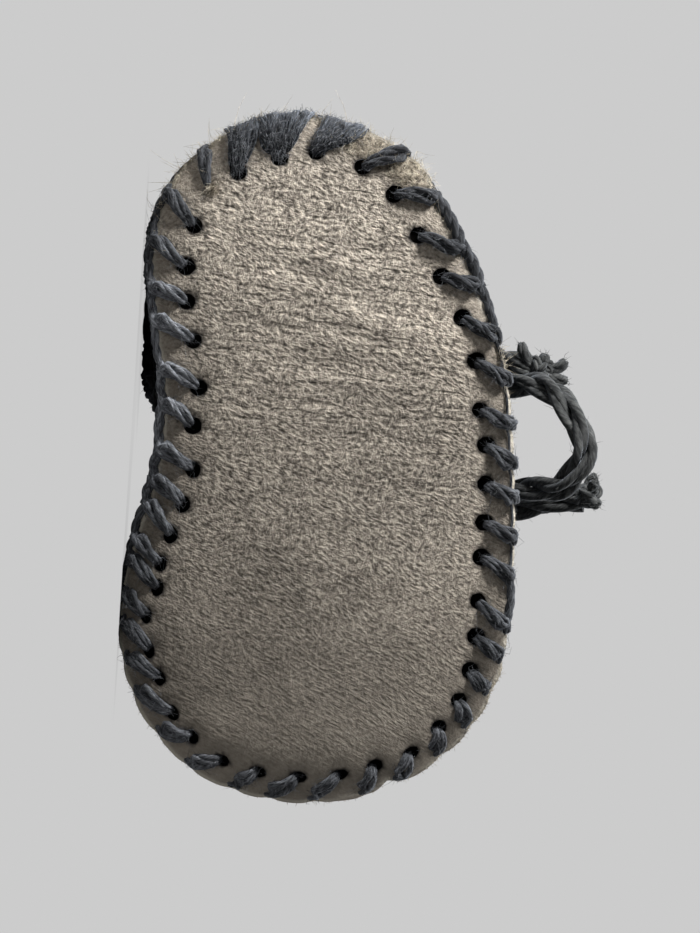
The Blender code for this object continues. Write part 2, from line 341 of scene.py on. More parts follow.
# A knitted loop: its points, its depth through the wall, and its height and lean as shares of its row and its
# stitch. Its yarn wanders a little, and a purl turns to a plain stitch over the space between their loops.
LOOP_POINTS = 12
LOOP_DEPTH = 0.66
CUFF_LOOP_DEPTH = 0.6
LOOP_HEIGHT = 0.76
LOOP_LEAN = 0.2
LOOP_UNEVEN = 0.035
LOOP_ROUGH = 0.02
LOOP_HALF = 0.38

# Routes of the free ends of the cord, as in its solids: along, height above the sole, across.
RoutePoint = namedtuple("RoutePoint", "along height across")
BOW_KNOT = RoutePoint(60.6, 55.5, 49.6)
OUTER_LOOP = [
    RoutePoint(58.2, 50.6, 53.0),
    RoutePoint(52.6, 43.0, 58.0),
    RoutePoint(47.0, 33.4, 65.0),
    RoutePoint(44.5, 25.0, 72.1),
    RoutePoint(46.9, 18.5, 77.4),
    RoutePoint(55.4, 14.6, 82.2),
    RoutePoint(62.2, 17.0, 79.5),
    RoutePoint(64.0, 23.4, 73.6),
    RoutePoint(64.6, 32.6, 66.2),
    RoutePoint(64.0, 43.0, 58.9),
    RoutePoint(62.2, 50.4, 53.6),
]
FRONT_LOOP = [
    RoutePoint(65.2, 53.4, 47.4),
    RoutePoint(70.6, 51.6, 42.0),
    RoutePoint(76.2, 48.8, 34.0),
    RoutePoint(78.8, 47.8, 25.4),
    RoutePoint(77.2, 49.6, 16.9),
    RoutePoint(72.6, 54.4, 13.0),
    RoutePoint(68.8, 59.6, 17.0),
    RoutePoint(68.2, 61.6, 25.6),
    RoutePoint(66.8, 61.4, 34.4),
    RoutePoint(64.0, 60.2, 42.6),
    RoutePoint(63.0, 59.0, 46.6),
]
LONG_TAIL = [
    RoutePoint(65.4, 53.2, 52.2),
    RoutePoint(69.2, 46.4, 57.2),
    RoutePoint(70.4, 39.4, 63.2),
    RoutePoint(68.2, 33.0, 70.2),
    RoutePoint(66.4, 28.0, 76.0),
    RoutePoint(65.3, 24.6, 81.9),
]
SHORT_TAIL = [
    RoutePoint(55.6, 54.2, 52.0),
    RoutePoint(48.2, 48.8, 54.8),
    RoutePoint(42.0, 41.0, 59.0),
    RoutePoint(39.6, 36.0, 63.8),
    RoutePoint(40.2, 33.0, 68.4),
    RoutePoint(41.2, 31.0, 72.1),
]
LONG_TAIL_KNOT = RoutePoint(64.5, 23.1, 84.4)
SHORT_TAIL_KNOT = RoutePoint(41.9, 29.6, 74.6)

# Tips of the cord's plies past the knots at its two ends, from the middle of each knot.
PlyTip = namedtuple("PlyTip", "along height across")
SHORT_TAIL_PLIES = [
    PlyTip(-5.0, -0.6, -3.9),
    PlyTip(-3.2, -1.0, 0.7),
    PlyTip(-2.3, -0.8, 4.7),
    PlyTip(1.4, -0.4, 5.3),
]
LONG_TAIL_PLIES = [
    PlyTip(-3.8, 0.6, 1.2),
    PlyTip(-2.6, -3.4, 0.8),
    PlyTip(1.6, -3.4, 1.4),
]

# A free cord: its node, its route and what its far end goes into.
FreeCord = namedtuple("FreeCord", "node route far_end")
FREE_CORDS = [
    FreeCord("bow_loop_outer", OUTER_LOOP, "object"),
    FreeCord("bow_loop_front", FRONT_LOOP, "object"),
    FreeCord("cord_tail_long", LONG_TAIL, "knot"),
    FreeCord("cord_tail_short", SHORT_TAIL, "knot"),
]

# A knot: its node, its middle, its half sizes, the radius of its strands, the tips of its plies, and the seed
# of the way it is turned.
Knot = namedtuple("Knot", "node centre size strand tips seed")
KNOTS = [
    Knot("bow_knot", BOW_KNOT, (3.2, 2.8, 3.0), 0.935, (), 8),
    Knot("tail_knot_long", LONG_TAIL_KNOT, (1.2, 1.1, 1.15), 0.88, LONG_TAIL_PLIES, 14),
    Knot("tail_knot_short", SHORT_TAIL_KNOT, (1.2, 1.1, 1.15), 0.88, SHORT_TAIL_PLIES, 15),
]

# Where the wool is painted lighter or darker, as light and shade: a gain, and the fades that bound it. A fade
# runs from one share to another between two places on an axis of the frame, in millimetres.
Fade = namedtuple("Fade", "axis start end first last")
Tone = namedtuple("Tone", "gain fades")
ALONG = 0
ACROSS = 2
SEAM_PAINTED_TONES = [
    # The inner edge at the arch, which the lamps leave dark, painted much lighter.
    Tone(
        3.1,
        (
            Fade(ACROSS, 4.0, 14.0, 1.0, 0.0),
            Fade(ALONG, -15.0, 24.0, 1.0, 0.0),
            Fade(ALONG, -38.0, -19.0, 0.0, 1.0),
        ),
    ),
    # The outer edge: painted shade at the heel, and painted light on from there to the toe.
    Tone(-0.38, (Fade(ALONG, -25.0, -5.0, 1.0, 0.0), Fade(ACROSS, 28.0, 44.0, 0.0, 1.0))),
    Tone(0.22, (Fade(ALONG, -22.0, 2.0, 0.0, 1.0), Fade(ACROSS, 40.0, 60.0, 0.3, 1.0))),
    # Painted light on the toe, and on its inner side.
    Tone(0.78, (Fade(ALONG, 32.0, 50.0, 0.0, 1.0),)),
    Tone(0.45, (Fade(ALONG, 22.0, 40.0, 0.0, 1.0), Fade(ACROSS, 12.0, 34.0, 1.0, 0.0))),
]
# The strands at the very end of the heel are painted lighter, as lit, and their roots darker, as shaded.
HEEL_PAINTED_TONES = [Tone(0.7, (Fade(ALONG, -61.0, -56.2, 1.0, -1.0),))]

# Radius of loose hairs of leather and cord, and of the finer ones of the wool, in metres.
HAIR = 0.00004
WOOL_HAIR = 0.000035

# Camera: its roll in degrees, and in metres of the frame the place that it looks at and how far below that
# it stands.
CAMERA_ROLL = 3.67
CAMERA_AIM = (0.001, 0.039)
CAMERA_DROP = 0.030

# Lamps, in metres of the frame, with their share of the key light's power. They point at a place on the sole.
LAMP_AIM = (0.0, 0.035)
Lamp = namedtuple("Lamp", "name x y z size share")
LAMPS = [
    Lamp("key", -0.175, -0.112, 0.14, 0.06, 1.0),
    Lamp("side", 0.04, -0.052, 0.36, 0.16, 0.35),
    Lamp("top", 0.02, 0.10, 0.50, 0.45, 2.6),
    Lamp("back", 0.25, 0.45, 0.30, 0.40, 3.0),
]


class SoleSettings(bpy.types.PropertyGroup):
    thickness: FloatProperty(
        name="Leather", description="Thickness of the leather", default=0.0018, unit="LENGTH"
    )
    hole: FloatProperty(
        name="Hole", description="Diameter of the holes of the seam", default=0.0029, unit="LENGTH"
    )
    curl: FloatProperty(
        name="Curl",
        description="Rise of the cut edge that the stitches pull up",
        default=0.0006,
        unit="LENGTH",
    )
    nap_light: FloatVectorProperty(
        name="Light nap",
        description="Colour of the tips of the nap",
        default=(0.60, 0.53, 0.44),
        subtype="COLOR",
    )
    nap_dark: FloatVectorProperty(
        name="Dark nap",
        description="Colour between the tips of the nap",
        default=(0.10, 0.086, 0.072),
        subtype="COLOR",
    )
    nap_relief: FloatProperty(
        name="Nap", description="Height of the nap", default=0.00132, unit="LENGTH", precision=5
    )


class YarnSettings(bpy.types.PropertyGroup):
    seam_yarn: FloatProperty(
        name="Seam yarn", description="Diameter of the yarn of the seam", default=0.00118, unit="LENGTH"
    )
    knit_yarn: FloatProperty(
        name="Knitting yarn",
        description="Diameter of the yarn of the upper",
        default=0.0014,
        unit="LENGTH",
    )
    light: FloatVectorProperty(
        name="Light wool",
        description="Colour of the lighter fibres",
        default=(0.158, 0.165, 0.178),
        subtype="COLOR",
    )
    dark: FloatVectorProperty(
        name="Dark wool",
        description="Colour of the darker fibres",
        default=(0.018, 0.0186, 0.0208),
        subtype="COLOR",
    )


class CordSettings(bpy.types.PropertyGroup):
    diameter: FloatProperty(
        name="Diameter", description="Thickness of the cord", default=0.0050, unit="LENGTH"
    )
    lay: FloatProperty(
        name="Lay", description="Length of one turn of its strands", default=0.028, unit="LENGTH"
    )
    light: FloatVectorProperty(
        name="Light wool",
        description="Colour of the lighter fibres",
        default=(0.155, 0.158, 0.154),
        subtype="COLOR",
    )
    dark: FloatVectorProperty(
        name="Dark wool",
        description="Colour of the darker fibres",
        default=(0.028, 0.029, 0.029),
        subtype="COLOR",
    )


class FibreSettings(bpy.types.PropertyGroup):
    edge_fibres: IntProperty(
        name="Edge fibres", description="Short fibres along the cut edge of the leather", default=2200
    )
    seam_fibres: IntProperty(
        name="Seam fibres", description="Short fibres standing off the stitches", default=6000
    )
    knit_fibres: IntProperty(
        name="Knitting fibres", description="Curly fibres standing off the upper", default=3200
    )


class StageSettings(bpy.types.PropertyGroup):
    distance: FloatProperty(
        name="Distance", description="From the camera to the sole", default=0.6, unit="LENGTH"
    )
    view_height: FloatProperty(
        name="View", description="Height of the view at the sole", default=0.165, unit="LENGTH"
    )
    backdrop: FloatVectorProperty(
        name="Backdrop",
        description="Colour of the backdrop",
        default=(0.604, 0.604, 0.604),
        subtype="COLOR",
    )
    key: FloatProperty(
        name="Key light", description="Power of the key light in watts", default=0.80
    )
    fill: FloatProperty(
        name="Fill light", description="Strength of the light from all round", default=0.06
    )


def place(points):
    """Points given as along, height and across in millimetres, as points of the frame in metres."""
    low = np.array(CAD_BOX[0])
    return np.asarray(points, float) * MM + low * (1.0, 1.0, 0.0)


def blend(a, b, share):
    return a + (b - a) * share


def smooth_rows(rows, closed, steps):
    """Catmull-Rom curve through the rows of an array, with some steps for each span."""
    rows = np.asarray(rows, float)
    count = len(rows)
    spans = count if closed else count - 1
    t = np.arange(spans * steps + (0 if closed else 1)) / steps
    k = np.minimum(t.astype(int), spans - 1)
    f = (t - k)[:, None]
    near = [k + step for step in (-1, 0, 1, 2)]
    near = [n % count if closed else np.clip(n, 0, count - 1) for n in near]
    p0, p1, p2, p3 = (rows[n] for n in near)
    bend = (2 * p0 - 5 * p1 + 4 * p2 - p3) * f**2 + (3 * p1 - p0 - 3 * p2 + p3) * f**3
    return 0.5 * (2 * p1 + (p2 - p0) * f + bend)


def reach_of(line):
    """Distance from the start of a line to each of its points."""
    steps = np.linalg.norm(np.diff(line, axis=0), axis=1)
    return np.concatenate([[0.0], np.cumsum(steps)])


def even_line(line, count):
    """The same line with points at equal steps."""
    reach = reach_of(line)
    target = np.linspace(0.0, reach[-1], count)
    return np.column_stack([np.interp(target, reach, column) for column in line.T])


def unit(vectors):
    return vectors / np.maximum(np.linalg.norm(vectors, axis=-1, keepdims=True), 1e-12)


def off_floor(points, radius):
    """Points raised so that a yarn of a radius lies on the floor and not in it."""
    points = points.copy()
    points[..., 2] = np.maximum(points[..., 2], radius)
    return points


class Outline:
    """Outline of the sole at even steps, with the way inwards at each of them."""

    def __init__(self, count):
        curve = smooth_rows(SOLE_OUTLINE, True, 24)
        closed = even_line(np.vstack([curve, curve[:1]]), count + 1)
        self.points = closed[:-1]
        self.length = reach_of(closed)[-1]
        self.arcs = np.arange(count) * self.length / count
        ahead = unit(np.roll(self.points, -1, axis=0) - np.roll(self.points, 1, axis=0))
        self.inwards = np.column_stack([ahead[:, 1], -ahead[:, 0]])

    def read(self, table, arc):
        """Row of a table of the outline at a distance round it, between its points."""
        place_on = np.asarray(arc) % self.length / self.length * len(table)
        k = np.floor(place_on).astype(int)
        share = (place_on - k)[..., None]
        return blend(table[k % len(table)], table[(k + 1) % len(table)], share)

    def at(self, arc, inset):
        """Points at a distance round the outline and a distance inside it."""
        return self.read(self.points, arc) + self.read(self.inwards, arc) * np.asarray(inset)[..., None]


OUTLINE = Outline(OUTLINE_POINTS)


def edge_pull(arc):
    """How far the stitches pull in the cut edge at a distance round the outline."""
    nearness = np.zeros_like(np.asarray(arc, float))
    for stitch in STITCHES:
        gap = (arc - stitch.arc - stitch.lean + OUTLINE.length / 2) % OUTLINE.length - OUTLINE.length / 2
        nearness = np.maximum(nearness, np.exp(-((gap / EDGE_PULL.width) ** 2)))
    return EDGE_PULL.depth * nearness


def stitch_dents(along, across):
    """How far the stitches press into the leather, round each hole and under each strand."""
    spots = np.column_stack([along, across])
    total = np.zeros(len(spots))
    for stitch in STITCHES:
        start = OUTLINE.at(stitch.arc, stitch.inset)
        end = OUTLINE.at(stitch.arc + stitch.lean, 0.0)
        length = np.linalg.norm(end - start)
        share = np.clip((spots - start) @ (end - start) / length**2, 0.0, 1.0)
        gap = np.linalg.norm(spots - start - share[:, None] * (end - start), axis=1)
        to_hole = np.linalg.norm(spots - start, axis=1)
        under = STRAND_DENT.depth * np.exp(-((gap / STRAND_DENT.width) ** 2))
        around = HOLE_DENT.depth * np.exp(-((to_hole / HOLE_DENT.width) ** 2))
        total = np.maximum(total, under + around)
    return total


def cup_height(along, inset):
    """Rise of the sole's solid towards its edge, with the spring of its toe and the lift of its heel."""
    toe = np.maximum(0.0, (along - TOE_SPRING_START) / (LENGTH - TOE_SPRING_START)) ** 2
    heel = np.maximum(0.0, (HEEL_LIFT_END - along) / HEEL_LIFT_END) ** 2
    edge = EDGE_CUP + TOE_SPRING * toe**2 + HEEL_LIFT * heel**2
    return edge * np.clip(1 - inset / MARGIN, 0.0, None) ** 2


class Leather:
    """The underside of the leather in the seam's own measures: round the outline, inwards and outwards."""

    def __init__(self, settings):
        self.curl = settings.curl / MM

    @staticmethod
    def edge_inset(arc):
        """Distance of the cut edge inside the outline, with the pull of the stitches and the notch."""
        gap = np.asarray(arc) - NOTCH.arc
        notch = NOTCH.depth * np.exp(-((gap / np.where(gap > 0, NOTCH.after, NOTCH.before)) ** 2))
        return edge_values(arc)[0] + edge_pull(arc) + notch

    def rise(self, along, inset):
        """Height of the underside: the cup of the solid, and the curl of the cut edge."""
        return cup_height(along, inset) + self.curl * np.clip(1 - inset / CURL_WIDTH, 0.0, None) ** 2

    def point(self, arc, inset, out=0.0):
        """Points at a depth below the underside, as along, height and across."""
        arc, inset, out = np.broadcast_arrays(*map(np.asarray, (arc, inset, out)))
        flat = OUTLINE.at(arc, inset)
        inwards = OUTLINE.read(OUTLINE.inwards, arc)
        step = 0.1
        height = self.rise(flat[..., 0], inset)
        slope = (height - self.rise(flat[..., 0], inset + step)) / step
        lean = np.arctan(slope)
        sideways = np.sin(lean) * out
        along = flat[..., 0] - inwards[..., 0] * sideways
        across = flat[..., 1] - inwards[..., 1] * sideways
        return np.stack([along, height - np.cos(lean) * out, across], axis=-1)

    def beyond(self, arc, ahead, out):
        """Points past the cut edge, measured on from the underside and down from it."""
        arc, ahead, out = np.broadcast_arrays(*map(np.asarray, (arc, ahead, out)))
        inset = self.edge_inset(arc)
        start = self.point(arc, inset)
        inner = self.point(arc, inset + 0.2)
        return self.point(arc, inset, out) + unit(start - inner) * ahead[..., None]


def wrinkle_height(along, across):
    """Relief of the soft wrinkles and of the skin's own unevenness, up from the flat of the sole."""
    total = np.zeros_like(along)
    for wrinkle in WRINKLES:
        turn = math.radians(wrinkle.turn)
        dx = across - wrinkle.across
        dy = along - wrinkle.along
        lengthwise = dx * math.cos(turn) + dy * math.sin(turn)
        crosswise = dy * math.cos(turn) - dx * math.sin(turn)
        crosswise = crosswise + 0.9 * np.sin(lengthwise * 0.28 + wrinkle.along)
        body = np.exp(-((crosswise / wrinkle.width) ** 2)) - 0.6 * np.exp(
            -(((crosswise - wrinkle.width * 1.5) / wrinkle.width) ** 2)
        )
        total += 1.6 * wrinkle.depth * body * np.exp(-((lengthwise / wrinkle.half_length) ** 2))
    for wave in WAVES:
        spots = zip(along * wave.along, across * wave.across)
        total += wave.height * np.array([noise.noise(Vector((x, y, wave.layer))) for x, y in spots])
    return total


def add_piece(name, mesh, finish, replaced=()):
    """Object of a finished mesh, riding on the one body."""
    item = bpy.data.objects.new(name, mesh)
    bpy.context.scene.collection.objects.link(item)
    if finish:
        mesh.materials.clear()
        mesh.materials.append(finish)
    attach(item, BODY)
    if replaced:
        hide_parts(*replaced)
    return item


def tube_mesh(name, lines, radius, closed=False, detail=1, swell=None, caps=True):
    """Mesh of round strands along lines of points in metres. Its UV map has millimetres along each strand."""
    curve = bpy.data.curves.new(name, "CURVE")
    curve.dimensions = "3D"
    curve.bevel_depth = radius
    curve.bevel_resolution = detail
    curve.use_fill_caps = caps and not closed
    for number, line in enumerate(lines):
        spline = curve.splines.new("POLY")
        spline.points.add(len(line) - 1)
        spline.use_cyclic_u = closed
        spline.points.foreach_set("co", np.column_stack([line, np.ones(len(line))]).ravel())
        if swell is not None:
            spline.points.foreach_set("radius", np.asarray(swell[number], float))
    holder = bpy.data.objects.new(name, curve)
    mesh = bpy.data.meshes.new_from_object(holder)
    bpy.data.objects.remove(holder)
    bpy.data.curves.remove(curve)
    mesh.name = name
    scale_uv(mesh, lines)
    mesh.shade_smooth()
    return mesh


def scale_uv(mesh, lines):
    """Turns the share along each strand into millimetres, with a start of its own for each strand."""
    sides = len(mesh.vertices) // sum(len(line) for line in lines)
    ends = np.cumsum([len(line) * sides for line in lines])
    lengths = np.array([reach_of(line)[-1] / MM for line in lines])
    starts = np.arange(len(lines)) * 7.3 % 41.0
    corner = np.empty(len(mesh.loops), int)
    mesh.loops.foreach_get("vertex_index", corner)
    strand = np.minimum(np.searchsorted(ends, corner, side="right"), len(lines) - 1)
    layer = mesh.uv_layers[0].data
    values = np.empty(len(mesh.loops) * 2)
    layer.foreach_get("uv", values)
    values = values.reshape(-1, 2)
    values[:, 0] = values[:, 0] * lengths[strand] + starts[strand]
    layer.foreach_set("uv", values.ravel())


def join_meshes(name, meshes):
    """One mesh of several."""
    joined = bmesh.new()
    for mesh in meshes:
        joined.from_mesh(mesh)
        bpy.data.meshes.remove(mesh)
    result = bpy.data.meshes.new(name)
    joined.to_mesh(result)
    joined.free()
    return result


def side_frames(line):
    """For each point of a line, two directions square to it that turn as little as they can."""
    ahead = unit(np.gradient(line, axis=0))
    start = np.cross(ahead[0], (0.3, 0.5, 0.81))
    sides = [start / np.linalg.norm(start)]
    for direction in ahead[1:]:
        side = sides[-1] - direction * np.dot(sides[-1], direction)
        sides.append(side / np.linalg.norm(side))
    sides = np.array(sides)
    return sides, np.cross(ahead, sides)


def twisted(line, strands, offset, lay, phase=0.0):
    """Lines of strands twisted round a line, offset from it, with one turn for each lay."""
    sides, ups = side_frames(line)
    reach = reach_of(line)
    offset = np.broadcast_to(offset, len(line))[:, None]
    result = []
    for number in range(strands):
        angle = phase + 2 * math.pi * (number / strands + reach / lay)
        result.append(line + offset * (sides * np.cos(angle)[:, None] + ups * np.sin(angle)[:, None]))
    return result


def hair_lines(draw, roots, headings, lengths, curl, points=4):
    """Fine hairs, each bent two ways by a share of its length, none of them below the floor."""
    t = np.linspace(0.0, 1.0, points)[None, :, None]
    lengths = lengths[:, None, None]
    bow = unit(draw.normal(size=roots.shape))[:, None] * curl * 1.4 * t**2
    wave = unit(draw.normal(size=roots.shape))[:, None] * curl * 0.6 * np.sin(t * 5.0)
    spots = roots[:, None] + lengths * (headings[:, None] * t + bow + wave)
    spots[..., 2] = np.maximum(spots[..., 2], 0.0001)
    return list(spots)


def hairs_on(draw, lines, count, longest, away=(0.0, 0.0, 0.0), along=0.8, lift=0.0, centre=None, points=4):
    """Hairs of yarns, most of them short. They lean along the yarn, away from something or from a centre."""
    sizes = np.array([len(line) for line in lines])
    every = np.concatenate(lines)
    ahead = unit(np.concatenate([np.gradient(line, axis=0) for line in lines]))
    picks = draw.integers(0, sizes.sum(), count)
    away = np.broadcast_to(away, (count, 3))
    if centre is not None:
        away = unit((every[picks] - np.array(centre[0])) * np.array(centre[1])) * 0.9
    lean = ahead[picks] * draw.normal(0.0, along, (count, 1))
    sideways = unit(draw.normal(size=(count, 3)))
    headings = unit(sideways + lean + away)
    roots = every[picks] + unit(sideways + away) * lift
    lengths = longest * (0.25 + 0.75 * draw.random(count) ** 2.5)
    return hair_lines(draw, roots, headings, lengths, 0.42, points)


def inside_edge(hairs, furthest):
    """The hairs whose tips end no further outside the outline of the sole than a distance."""
    tips = (np.array([hair[-1] for hair in hairs]) - place((0.0, 0.0, 0.0)))[:, (0, 2)] / MM
    kept = []
    for hair, tip in zip(hairs, tips):
        gaps = tip - OUTLINE.points
        nearest = (gaps**2).sum(axis=1).argmin()
        if gaps[nearest] @ OUTLINE.inwards[nearest] > -furthest:
            kept.append(hair)
    return kept


def add_hairs(name, hairs, radius, finish):
    """Piece of fine hairs that taper to their tips."""
    taper = [np.interp(np.linspace(0.0, 1.0, len(hair)), [0.0, 0.4, 1.0], [1.0, 0.9, 0.3]) for hair in hairs]
    mesh = tube_mesh(name, hairs, radius, detail=0, swell=taper, caps=False)
    add_piece(name, mesh, finish)


class Socket:
    """A value in a tree of nodes. Arithmetic on it adds Math nodes."""

    def __init__(self, nodes, socket):
        self.nodes = nodes
        self.socket = socket

    def math(self, operation, *others, clamp=False):
        return self.nodes.math(operation, self, *others, clamp=clamp)

    def __add__(self, other):
        return self.math("ADD", other)

    __radd__ = __add__

    def __sub__(self, other):
        return self.math("SUBTRACT", other)

    def __rsub__(self, other):
        return self.nodes.math("SUBTRACT", other, self)

    def __mul__(self, other):
        return self.math("MULTIPLY", other)

    __rmul__ = __mul__

    def __truediv__(self, other):
        return self.math("DIVIDE", other)

    def clamped(self):
        return self.math("ADD", 0.0, clamp=True)


class Nodes:
    """A tree of nodes that is added to node by node."""

    def __init__(self, tree):
        self.tree = tree

    def node(self, kind, settings=None, sockets=None, out=0):
        """Adds a node, with its settings first and then the values or links of its sockets."""
        made = self.tree.nodes.new(kind)
        for key, value in (settings or {}).items():
            setattr(made, key, value)
        for key, value in (sockets or {}).items():
            self.feed(made.inputs[key], value)
        return Socket(self, made.outputs[out])

    def feed(self, target, value):
        if isinstance(value, Socket):
            self.tree.links.new(value.socket, target)
        elif target.type == "RGBA" and len(value) == 3:
            target.default_value = (*value, 1.0)
        else:
            target.default_value = value

    def math(self, operation, *values, clamp=False):
        settings = {"operation": operation, "use_clamp": clamp}
        return self.node("ShaderNodeMath", settings, dict(enumerate(values)))

    def mix(self, share, a, b, blend_type="MIX"):
        """Mix of two colours."""
        settings = {"data_type": "RGBA", "blend_type": blend_type}
        return self.node("ShaderNodeMix", settings, {0: share, 6: a, 7: b}, out=2)

    def between(self, share, a, b):
        """Mix of two values."""
        return self.node("ShaderNodeMix", {"data_type": "FLOAT"}, {0: share, 2: a, 3: b})

    def dimmed(self, colour, level):
        """A colour times a level."""
        grey = self.node("ShaderNodeCombineColor", {}, {0: level, 1: level, 2: level})
        return self.mix(1.0, colour, grey, "MULTIPLY")

    def spread(self, value, low, high, new_low=0.0, new_high=1.0):
        """A value's range made into another, and held to it past its ends."""
        sockets = {0: value, 1: low, 2: high, 3: new_low, 4: new_high}
        return self.node("ShaderNodeMapRange", {"clamp": True}, sockets)

    def vector(self, x, y, z):
        return self.node("ShaderNodeCombineXYZ", {}, {0: x, 1: y, 2: z})

    def parts(self, vector):
        made = self.node("ShaderNodeSeparateXYZ", {}, {0: vector})
        return [Socket(self, made.socket.node.outputs[k]) for k in range(3)]

    def noise(self, vector, scale, detail=2.0, roughness=0.5, distortion=0.0, out="Fac"):
        sockets = {
            "Vector": vector,
            "Scale": scale,
            "Detail": detail,
            "Roughness": roughness,
            "Distortion": distortion,
        }
        return self.node("ShaderNodeTexNoise", {"noise_dimensions": "3D"}, sockets, out)

    def turned(self, vector, turn, size):
        """Coordinates turned by three angles and then counted in three sizes."""
        sockets = {"Vector": vector, "Rotation": turn, "Scale": size}
        return self.node("ShaderNodeMapping", {"vector_type": "TEXTURE"}, sockets)

    def attribute(self, name):
        return self.node("ShaderNodeAttribute", {"attribute_name": name}, out="Fac")

    def object_millimetres(self):
        metres = self.node("ShaderNodeTexCoord", out="Object")
        return self.node("ShaderNodeVectorMath", {"operation": "SCALE"}, {0: metres, "Scale": 1 / MM})


class Finish(Nodes):
    """A material built from its Principled shader outwards."""

    def __init__(self, name, **constants):
        self.material = bpy.data.materials.new(name)
        self.material.use_nodes = True
        super().__init__(self.material.node_tree)
        self.shader = self.tree.nodes["Principled BSDF"]
        for socket, value in constants.items():
            self.feed(self.shader.inputs[socket.replace("_", " ")], value)

    def colour(self, value):
        self.feed(self.shader.inputs["Base Color"], value)

    def relief(self, height, distance):
        bump = self.node("ShaderNodeBump", {}, {"Strength": 1.0, "Distance": distance, "Height": height})
        self.feed(self.shader.inputs["Normal"], bump)


def suede_finish(settings):
    """Rough split leather: a nap combed aslant, fine wrinkles at the heel, and a greyer, smoother toe."""
    f = Finish("suede", Roughness=1.0, Specular_IOR_Level=0.15, Sheen_Weight=0.1, Sheen_Roughness=0.5)
    spot = f.object_millimetres()
    along, _, across = f.parts(spot)
    edge = f.attribute("edge")
    hole = f.attribute("hole")
    inner = f.spread(f.attribute("inset"), 3.0, 9.0)
    toe = f.spread(along, 2.0, 44.0)

    sway = f.noise(spot, 0.09, detail=2.0, out="Color")
    pull = f.node("ShaderNodeVectorMath", {"operation": "MULTIPLY_ADD"}, {0: sway, 1: (2.2,) * 3, 2: spot})
    comb = math.radians(-68.0)
    hairs = f.noise(f.turned(pull, (0.0, comb, 0.0), (1.05, 0.6, 0.50)), 1.0, 3.0, 0.58)
    cross = f.noise(f.turned(pull, (0.0, comb - 1.25, 0.0), (0.90, 0.6, 0.50)), 1.0, 3.0, 0.58)
    scratch = f.noise(f.turned(pull, (0.0, comb + 0.12, 0.0), (3.2, 0.6, 0.42)), 1.0, 2.0, 0.55)
    grain = f.noise(spot, 1.15, 2.0, 0.6)
    patches = f.noise(spot, 0.2, 2.0, 0.5)
    lying = f.spread(patches, 0.44, 0.60, 0.0, 0.85)
    nap = f.between(toe * 0.42, f.between(lying, hairs, cross), scratch)
    nap = nap * 0.62 + grain * 0.38
    sharp = f.spread(nap, 0.39, 0.60)
    fine = f.noise(spot, 3.8, 2.0, 0.6)
    wrinkles = f.noise(f.turned(pull, (0.0, 0.05, 0.0), (1.5, 0.6, 11.0)), 1.0, 1.0, 0.5)
    wrinkles = f.spread(wrinkles, 0.40, 0.52) * f.spread(along, -8.0, 12.0, 1.0, 0.0) * inner

    broad = f.noise(spot, 0.05, 3.0, 0.55)
    worn = f.spread(along, -45.0, 15.0, 1.0, 0.9) * f.spread(along, 15.0, 52.0, 1.0, 0.42)
    depth = (0.6 + 0.4 * inner) * worn
    # The nap's colour follows its relief, light on the tips and dark in the gaps: its own tone with painted
    # light and shade laid in.
    shade = 0.50 + (sharp - 0.5) * depth
    colour = f.mix(shade, settings.nap_dark, settings.nap_light)
    bare = f.mix(f.spread(fine, 0.3, 0.7), (0.26, 0.22, 0.18), (0.39, 0.335, 0.275))
    colour = f.mix((1 - inner) * 0.28, colour, bare)
    # The suede is darker over the toe half and lighter again at its tip, and lighter on the outer side
    # towards the toe.
    toe_level = f.spread(along, 5.0, 39.0, 1.0, 0.74) * f.spread(along, 42.0, 54.0, 1.0, 1.5)
    lighter_outer_toe = f.spread(across, 30.0, 62.0, 0.0, 0.36) * f.spread(along, 0.0, 15.0)
    # Painted light: the heel half lighter, where the light falls, with its very end darker; and more painted
    # light on the inner side of the heel.
    heel = f.spread(along, -52.0, -42.0, 0.84, 1.0) * f.spread(along, -25.0, -5.0, 1.14, 1.0)
    painted_light_inner_heel = f.spread(across, 16.0, 32.0, 0.2, 0.0) * f.spread(along, -42.0, -30.0, 1.0, 0.0)
    level = (toe_level + lighter_outer_toe + painted_light_inner_heel) * heel * f.spread(broad, 0.3, 0.7, 0.80, 0.95)
    colour = f.dimmed(colour, level)

    blotches = f.noise(spot, 1.1, 3.0, 0.65)
    raw = f.spread(f.attribute("inset"), 4.2, 6.2, 1.0, 0.0) * f.spread(along, -50.0, -45.0, 1.0, 0.0)
    raw = raw * f.spread(across, 29.0, 33.0)
    coarse = f.mix(f.spread(blotches, 0.40, 0.60), (0.07, 0.058, 0.042), (0.36, 0.315, 0.245))
    colour = f.mix(raw * 0.75, colour, coarse)
    rim = f.mix(fine, (0.44, 0.40, 0.33), (0.80, 0.74, 0.63))
    rim = f.dimmed(rim, f.spread(along, -52.0, -25.0, 0.5, 1.0))
    colour = f.mix(edge, colour, rim)
    # The holes and a thin ring round each are painted near-black, as shade.
    f.colour(f.mix(hole, colour, (0.02, 0.017, 0.016)))
    height = nap * depth + (1 - toe) * fine * 0.09 + wrinkles * 0.16 + raw * blotches * 0.5
    f.relief(height, settings.nap_relief)
    return f.material


